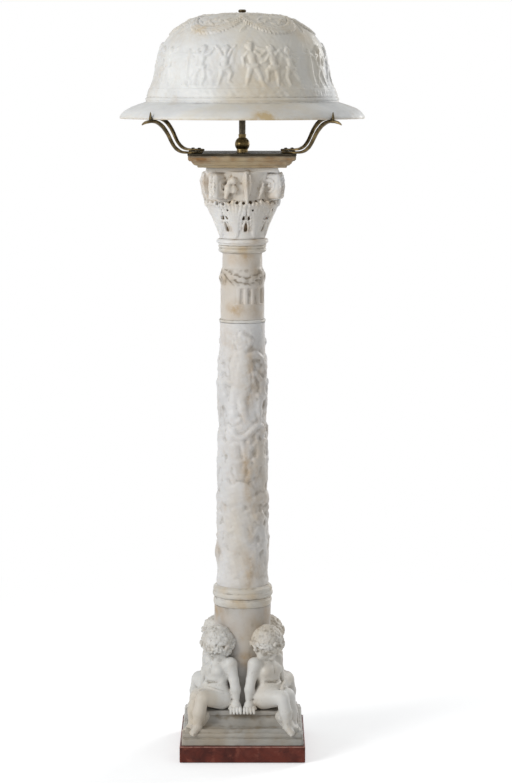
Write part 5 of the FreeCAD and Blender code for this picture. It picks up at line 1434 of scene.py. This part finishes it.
def make_figures():
    lap = [(74, -46, 152), (98, -42, 172), (120, -22, 178), (134, -2, 170), (140, 4, 144), (134, 6, 116),
           (130, 2, 98)]
    hip = [(70, 38, 152), (92, 44, 156), (114, 34, 166), (130, 6, 172), (142, -6, 164), (148, -4, 136)]
    # seed, then where the head looks, nods and rolls in degrees, the sash, and the corner
    for where, seed, look, nod, roll, sash, radius, sx, sy in (("front_left", 11, -20, 50, 6, hip, 3.0, -1, -1),
                                                               ("front_right", 23, 4, 44, -6, lap, 3.4, 1, -1),
                                                               ("back_left", 37, 10, 38, -3, lap, 3.2, -1, 1),
                                                               ("back_right", 41, -9, 40, 5, hip, 3.0, 1, 1)):
        C = sculpt_child(seed, math.radians(look), math.radians(nod), math.radians(roll), sash, radius)
        v, q = C.mesh()
        # painted shade: the figure's creases are darkened
        dirt = np.clip(C.hollow(v, 5.0) * 3.0 - 0.10, 0, 1) * 0.85
        # painted shade under the chin, between arm and body and where the seat shades the legs; the head painted
        # darker, partly shade and partly dirt in the hair; patchy dirt all over
        out, side, z = v.T
        dirt += 0.35 * np.exp(-(((out - 100) / 16) ** 2 + (side / 26) ** 2 + ((z - 240) / 10) ** 2))
        dirt += 0.40 * np.exp(-(((np.abs(side) - 44) / 7) ** 2 + ((z - 165) / 40) ** 2 + ((out - 84) / 16) ** 2))
        dirt += 0.22 * ramp(-z, -118, -66) * (0.6 + 0.4 * wobble(v, 22, seed))
        dirt += ramp(z, 240, 258) * (0.17 + 0.14 * wobble(v, 26, seed + 1) + 0.10 * wobble(v, 9, seed + 2))
        dirt += 0.16 * np.clip(wobble(v, 40, seed + 3), 0, 1)
        world = np.stack([sx * (out - side) * 0.70711, sy * (out + side) * 0.70711, z], 1) * MM
        if sx * sy < 0:
            q = q[:, ::-1]
        stain = blots(world, [(sx * 60, sy * 60, 300, 26, 0.3), (sx * 120, sy * 130, 85, 30, 0.3),
                              (sx * 40, sy * 90, 125, 22, 0.35)])
        piece("child_" + where, world, q, node="figure_" + where, slot="figure_alabaster",
              mat=STONE["figure"], dirt=dirt, stain=stain)


make_figures()


# Capital

# The bell under the leaves: heights and radii
BELL = ([1263.4, 1273, 1284, 1298, 1322, 1346, 1358, 1372, 1400, 1424],
        [55.2, 56.0, 58.4, 62.2, 71.5, 80.5, 82.5, 80, 81, 86])
TURNED_BY = math.radians(8)  # against the slab above, as in the photo
SCROLLS = [TURNED_BY + PI / 4 + k * PI / 2 for k in range(4)]


def on_bell(a, z, out=0.0):
    """A point on the bell at an angle in degrees from the turned face, and this far off it."""
    r = np.interp(z, *BELL) + out
    q = TURNED_BY + math.radians(a)
    return np.array([r * math.cos(q), r * math.sin(q), z])


def pointer(a, c=np.zeros(3)):
    """Axes outwards, across and up at an angle, and a function for points along them from c."""
    n, t, up = np.array([math.cos(a), math.sin(a), 0]), np.array([-math.sin(a), math.cos(a), 0]), np.array([0, 0, 1.0])
    return np.array([n, t, up]), lambda out, side, z: c + n * out + t * side + up * z


def carve_leaves(C, rng):
    """Broad ridged leaf blades that hug the bell, their lobes rolled out a little, with drilled eyes between them."""
    for i in range(8):
        axis = 45 * i + 22.5
        for j in range(-3, 4):
            m, way = abs(j), np.sign(j)
            foot, head = 1270 + 3 * m + 9 * (m == 3), 1353 - 5 * (m / 3) ** 2 + rng.uniform(-1.5, 1.5)
            wide = (0, 6.6, 13.0, 19.0)[m] * way + rng.uniform(-0.6, 0.6)
            line = spline([((0, 2.1, 4.3, 10.5)[m] * way, foot), ((0, 3.6, 7.6, 14.0)[m] * way, lerp(foot, head, 0.5)),
                           (wide, head - 8)], 9.0)
            n = len(line)
            pts = [on_bell(axis + a, z, 0.2 + 1.8 * (k / n)) for k, (a, z) in enumerate(line)]
            C.path(pts, np.linspace(2.6, 5.4, n), blend=2.2)
            C.path([pts[-1], on_bell(axis + wide, head - 2, 4.0), on_bell(axis + wide * 1.02, head + 1, 7.0)],
                   [5.4, 5.6, 4.4], blend=2.2)
            C.egg(on_bell(axis + wide, head - 3, 7.0), (4.2, 4.2, 4.6), blend=2.0)
        # small side lobes over the eyes between two leaves
        for e in (-1, 1):
            for points, radii, blend in (
                    ([(16.5, 1310, 1.5), (19.0, 1325, 3.0), (20.2, 1333, 4.5)], [2.6, 3.6, 2.8], 1.8),
                    ([(17.6, 1284, 0.8), (17.0, 1296, 2.0), (20.0, 1308, 2.6), (22.5, 1310, 2.8)],
                     [1.8, 2.4, 2.4, 2.0], 1.6)):
                C.path([on_bell(axis + e * a, z, out) for a, z, out in points], radii, blend=blend)

    def drill(a, z, rad, rise=0.0, deep=7.0):
        C.limb(on_bell(a, z, -deep), on_bell(a, z + rise, 12.0), rad, rad * 1.15, blend=1.0, cut=True)

    for i in range(8):
        a = 45 * i + rng.uniform(-1.2, 1.2)
        for k, rad in ((0, 4.1), (3.5, 4.0), (7, 3.4), (11, 2.7), (15, 1.9)):
            drill(a, 1286 + k, rad)
        for e in (-1, 1):
            drill(a + e * 5.6, 1314 + rng.uniform(-1, 1), 3.0)
            drill(a + e * 5.0, 1318, 2.2)
        drill(a + 10.5, 1334, 2.5)
        for e in (-1.4, -0.5, 0.5, 1.4):
            drill(a + e * 11.4, 1353 + 2.5 * math.sin(i * 2.2 + e) - 3 * (abs(e) < 1), rng.uniform(2.9, 4.2), 2.0, 5.0)


def carve_scroll(C, a):
    """A corner scroll: an upright block with a coil on each side and a worn beaded back."""
    (n, t, up), whole = pointer(a)
    c = whole(89.5, 0, 1391.5)
    axes, at = pointer(a, c)

    def block(p):
        q = p - c
        d = np.stack([np.abs(q @ n) - 21.0, np.abs(q @ t) - 5.0, np.abs(q[..., 2]) - 22.0], -1)
        return np.linalg.norm(np.maximum(d, 0), axis=-1) + np.minimum(d.max(-1), 0) - 9.0

    C.merge(c - 42, c + 42, block, 3.0)
    for e in (-1, 1):
        coil = [at(3, e * 13.6, 0) + (n * math.cos(w) + up * math.sin(w)) * (15.5 - 0.5 * w)
                for w in np.linspace(0.4, 0.4 + 2 * PI * 1.25, 30)]
        C.path(coil, np.linspace(3.4, 2.4, 30), blend=2.2)
        C.egg(at(3, e * 14, 0), (5.2, 5.2, 5.2), blend=2.5)
        stalk = ((70, 33, 1362), (74, 28, 1380), (78, 22, 1400), (82, 15, 1420))
        C.path([whole(out, e * side, z) for out, side, z in stalk], [4.0, 4.6, 4.6, 4.0], blend=4.0)
        C.path([at(27, e * 6.5, -24), at(30, e * 6.5, 0), at(27, e * 6.5, 24)], [2.6, 3.4, 2.6], blend=1.6)
    for j in range(6):
        bead = at(30.5, 0, 22 - 8.8 * j)
        C.egg(bead, (3.4, 3.0, 3.8), axes, blend=1.2)
        for e in (-1, 1):
            C.limb(bead + n * 3 + t * e * 11 - up * 4.4, bead - n * 2 + t * e * 9 - up * 4.4, 1.3, 1.0,
                   blend=1.6, cut=True)


def make_capital():
    low, high = np.array([-122.0, -122, 1260]), np.array([122.0, 122, 1438])
    C = Clay(low, high)
    rng = np.random.default_rng(5)

    def bell(p):
        z = p[..., 2]
        d = (np.hypot(p[..., 0], p[..., 1]) - np.interp(z, *BELL)) * 0.94
        return np.maximum(np.maximum(d, 1263.4 - z), z - 1426)

    def slab(p):
        # the cap plate, with its sides drawn in between the corners
        x, y = np.abs(p[..., 0]), np.abs(p[..., 1])
        side = 86.0 - 7.0 * np.clip(1 - (np.minimum(x, y) / 72.0) ** 2, 0, 1)
        return np.maximum(np.maximum(np.maximum(x, y) - side, 1424.5 - p[..., 2]), p[..., 2] - 1436.0)

    C.merge(low, high, bell, 1.0)
    C.merge(low, high, slab, 3.0)
    carve_leaves(C, rng)
    for a in SCROLLS:
        carve_scroll(C, a)
    # on each side a hanging bud, and to its left two worn berries on a low leaf
    for k in range(4):
        axes, at = pointer(TURNED_BY + k * PI / 2)
        C.limb(at(84, 0, 1422), at(89, 0, 1402), 7.0, 10.5, blend=4)
        C.limb(at(89, 0, 1402), at(84, 0, 1350), 10.5, 2.6, blend=3)
        for points, radii, blend, cut in (
                ([(95, -3, 1420), (99.5, -3.5, 1402), (95, -1.5, 1376), (90, 0, 1348)],
                 [2.8, 4.0, 3.2, 2.0], 1.8, False),
                ([(93, 6, 1418), (95, 8, 1400), (91, 5, 1374)], [2.4, 3.4, 2.2], 1.8, False),
                ([(99, 2, 1416), (100, 2.6, 1400), (95, 2, 1374)], [1.4, 1.7, 1.2], 1.8, True)):
            C.path([at(*q) for q in points], radii, blend=blend, cut=cut)
        C.egg(at(81, -33, 1405), (9, 9.5, 9.5), axes, blend=3)
        C.egg(at(81, -32, 1384), (9.5, 9.5, 10.5), axes, blend=3)
        C.path([at(80, -50, 1366), at(84, -46, 1386), at(82, -44, 1402)], [5.0, 6.0, 3.5], blend=7)
        C.path([at(82, 30, 1364), at(83, 36, 1382), at(80, 40, 1398)], [2.5, 3.2, 2.5], blend=7)
    v, q = C.mesh()
    r, z = np.hypot(v[:, 0], v[:, 1]), v[:, 2]
    # painted shade: the drilled holes and the carving's hollows are painted dark, with some patchy dirt higher up
    deep = np.clip((np.interp(z, *BELL) - 0.6 - r) / 4.0, 0, 1) * (z > 1278) * (z < 1366)
    dirt = np.clip(C.hollow(v, 6.0) * 2.4 - 0.08, 0, 0.75) + deep * 0.85
    dirt = dirt + ramp(z, 1352, 1364) * np.clip(wobble(v, 9, 31) * 0.35 - 0.18, 0, 0.4)
    w = v * MM
    stain = blots(w, [(-98, -52, 1395, 26, 0.75), (92, -64, 1372, 15, 0.5), (40, -92, 1356, 10, 0.6),
                      (66, -60, 1350, 12, 0.5), (-30, -90, 1358, 9, 0.5), (13, -97, 1398, 9, 0.5),
                      (70, 90, 1400, 30, 0.4), (12, -64, 1288, 8, 0.6), (-32, -56, 1288, 7, 0.6)])
    piece("capital_carved", w, q, node="capital", slot="capital_alabaster", mat=STONE["capital"],
          dirt=np.clip(dirt, 0, 1.2), stain=np.clip(stain, 0, 1))


make_capital()
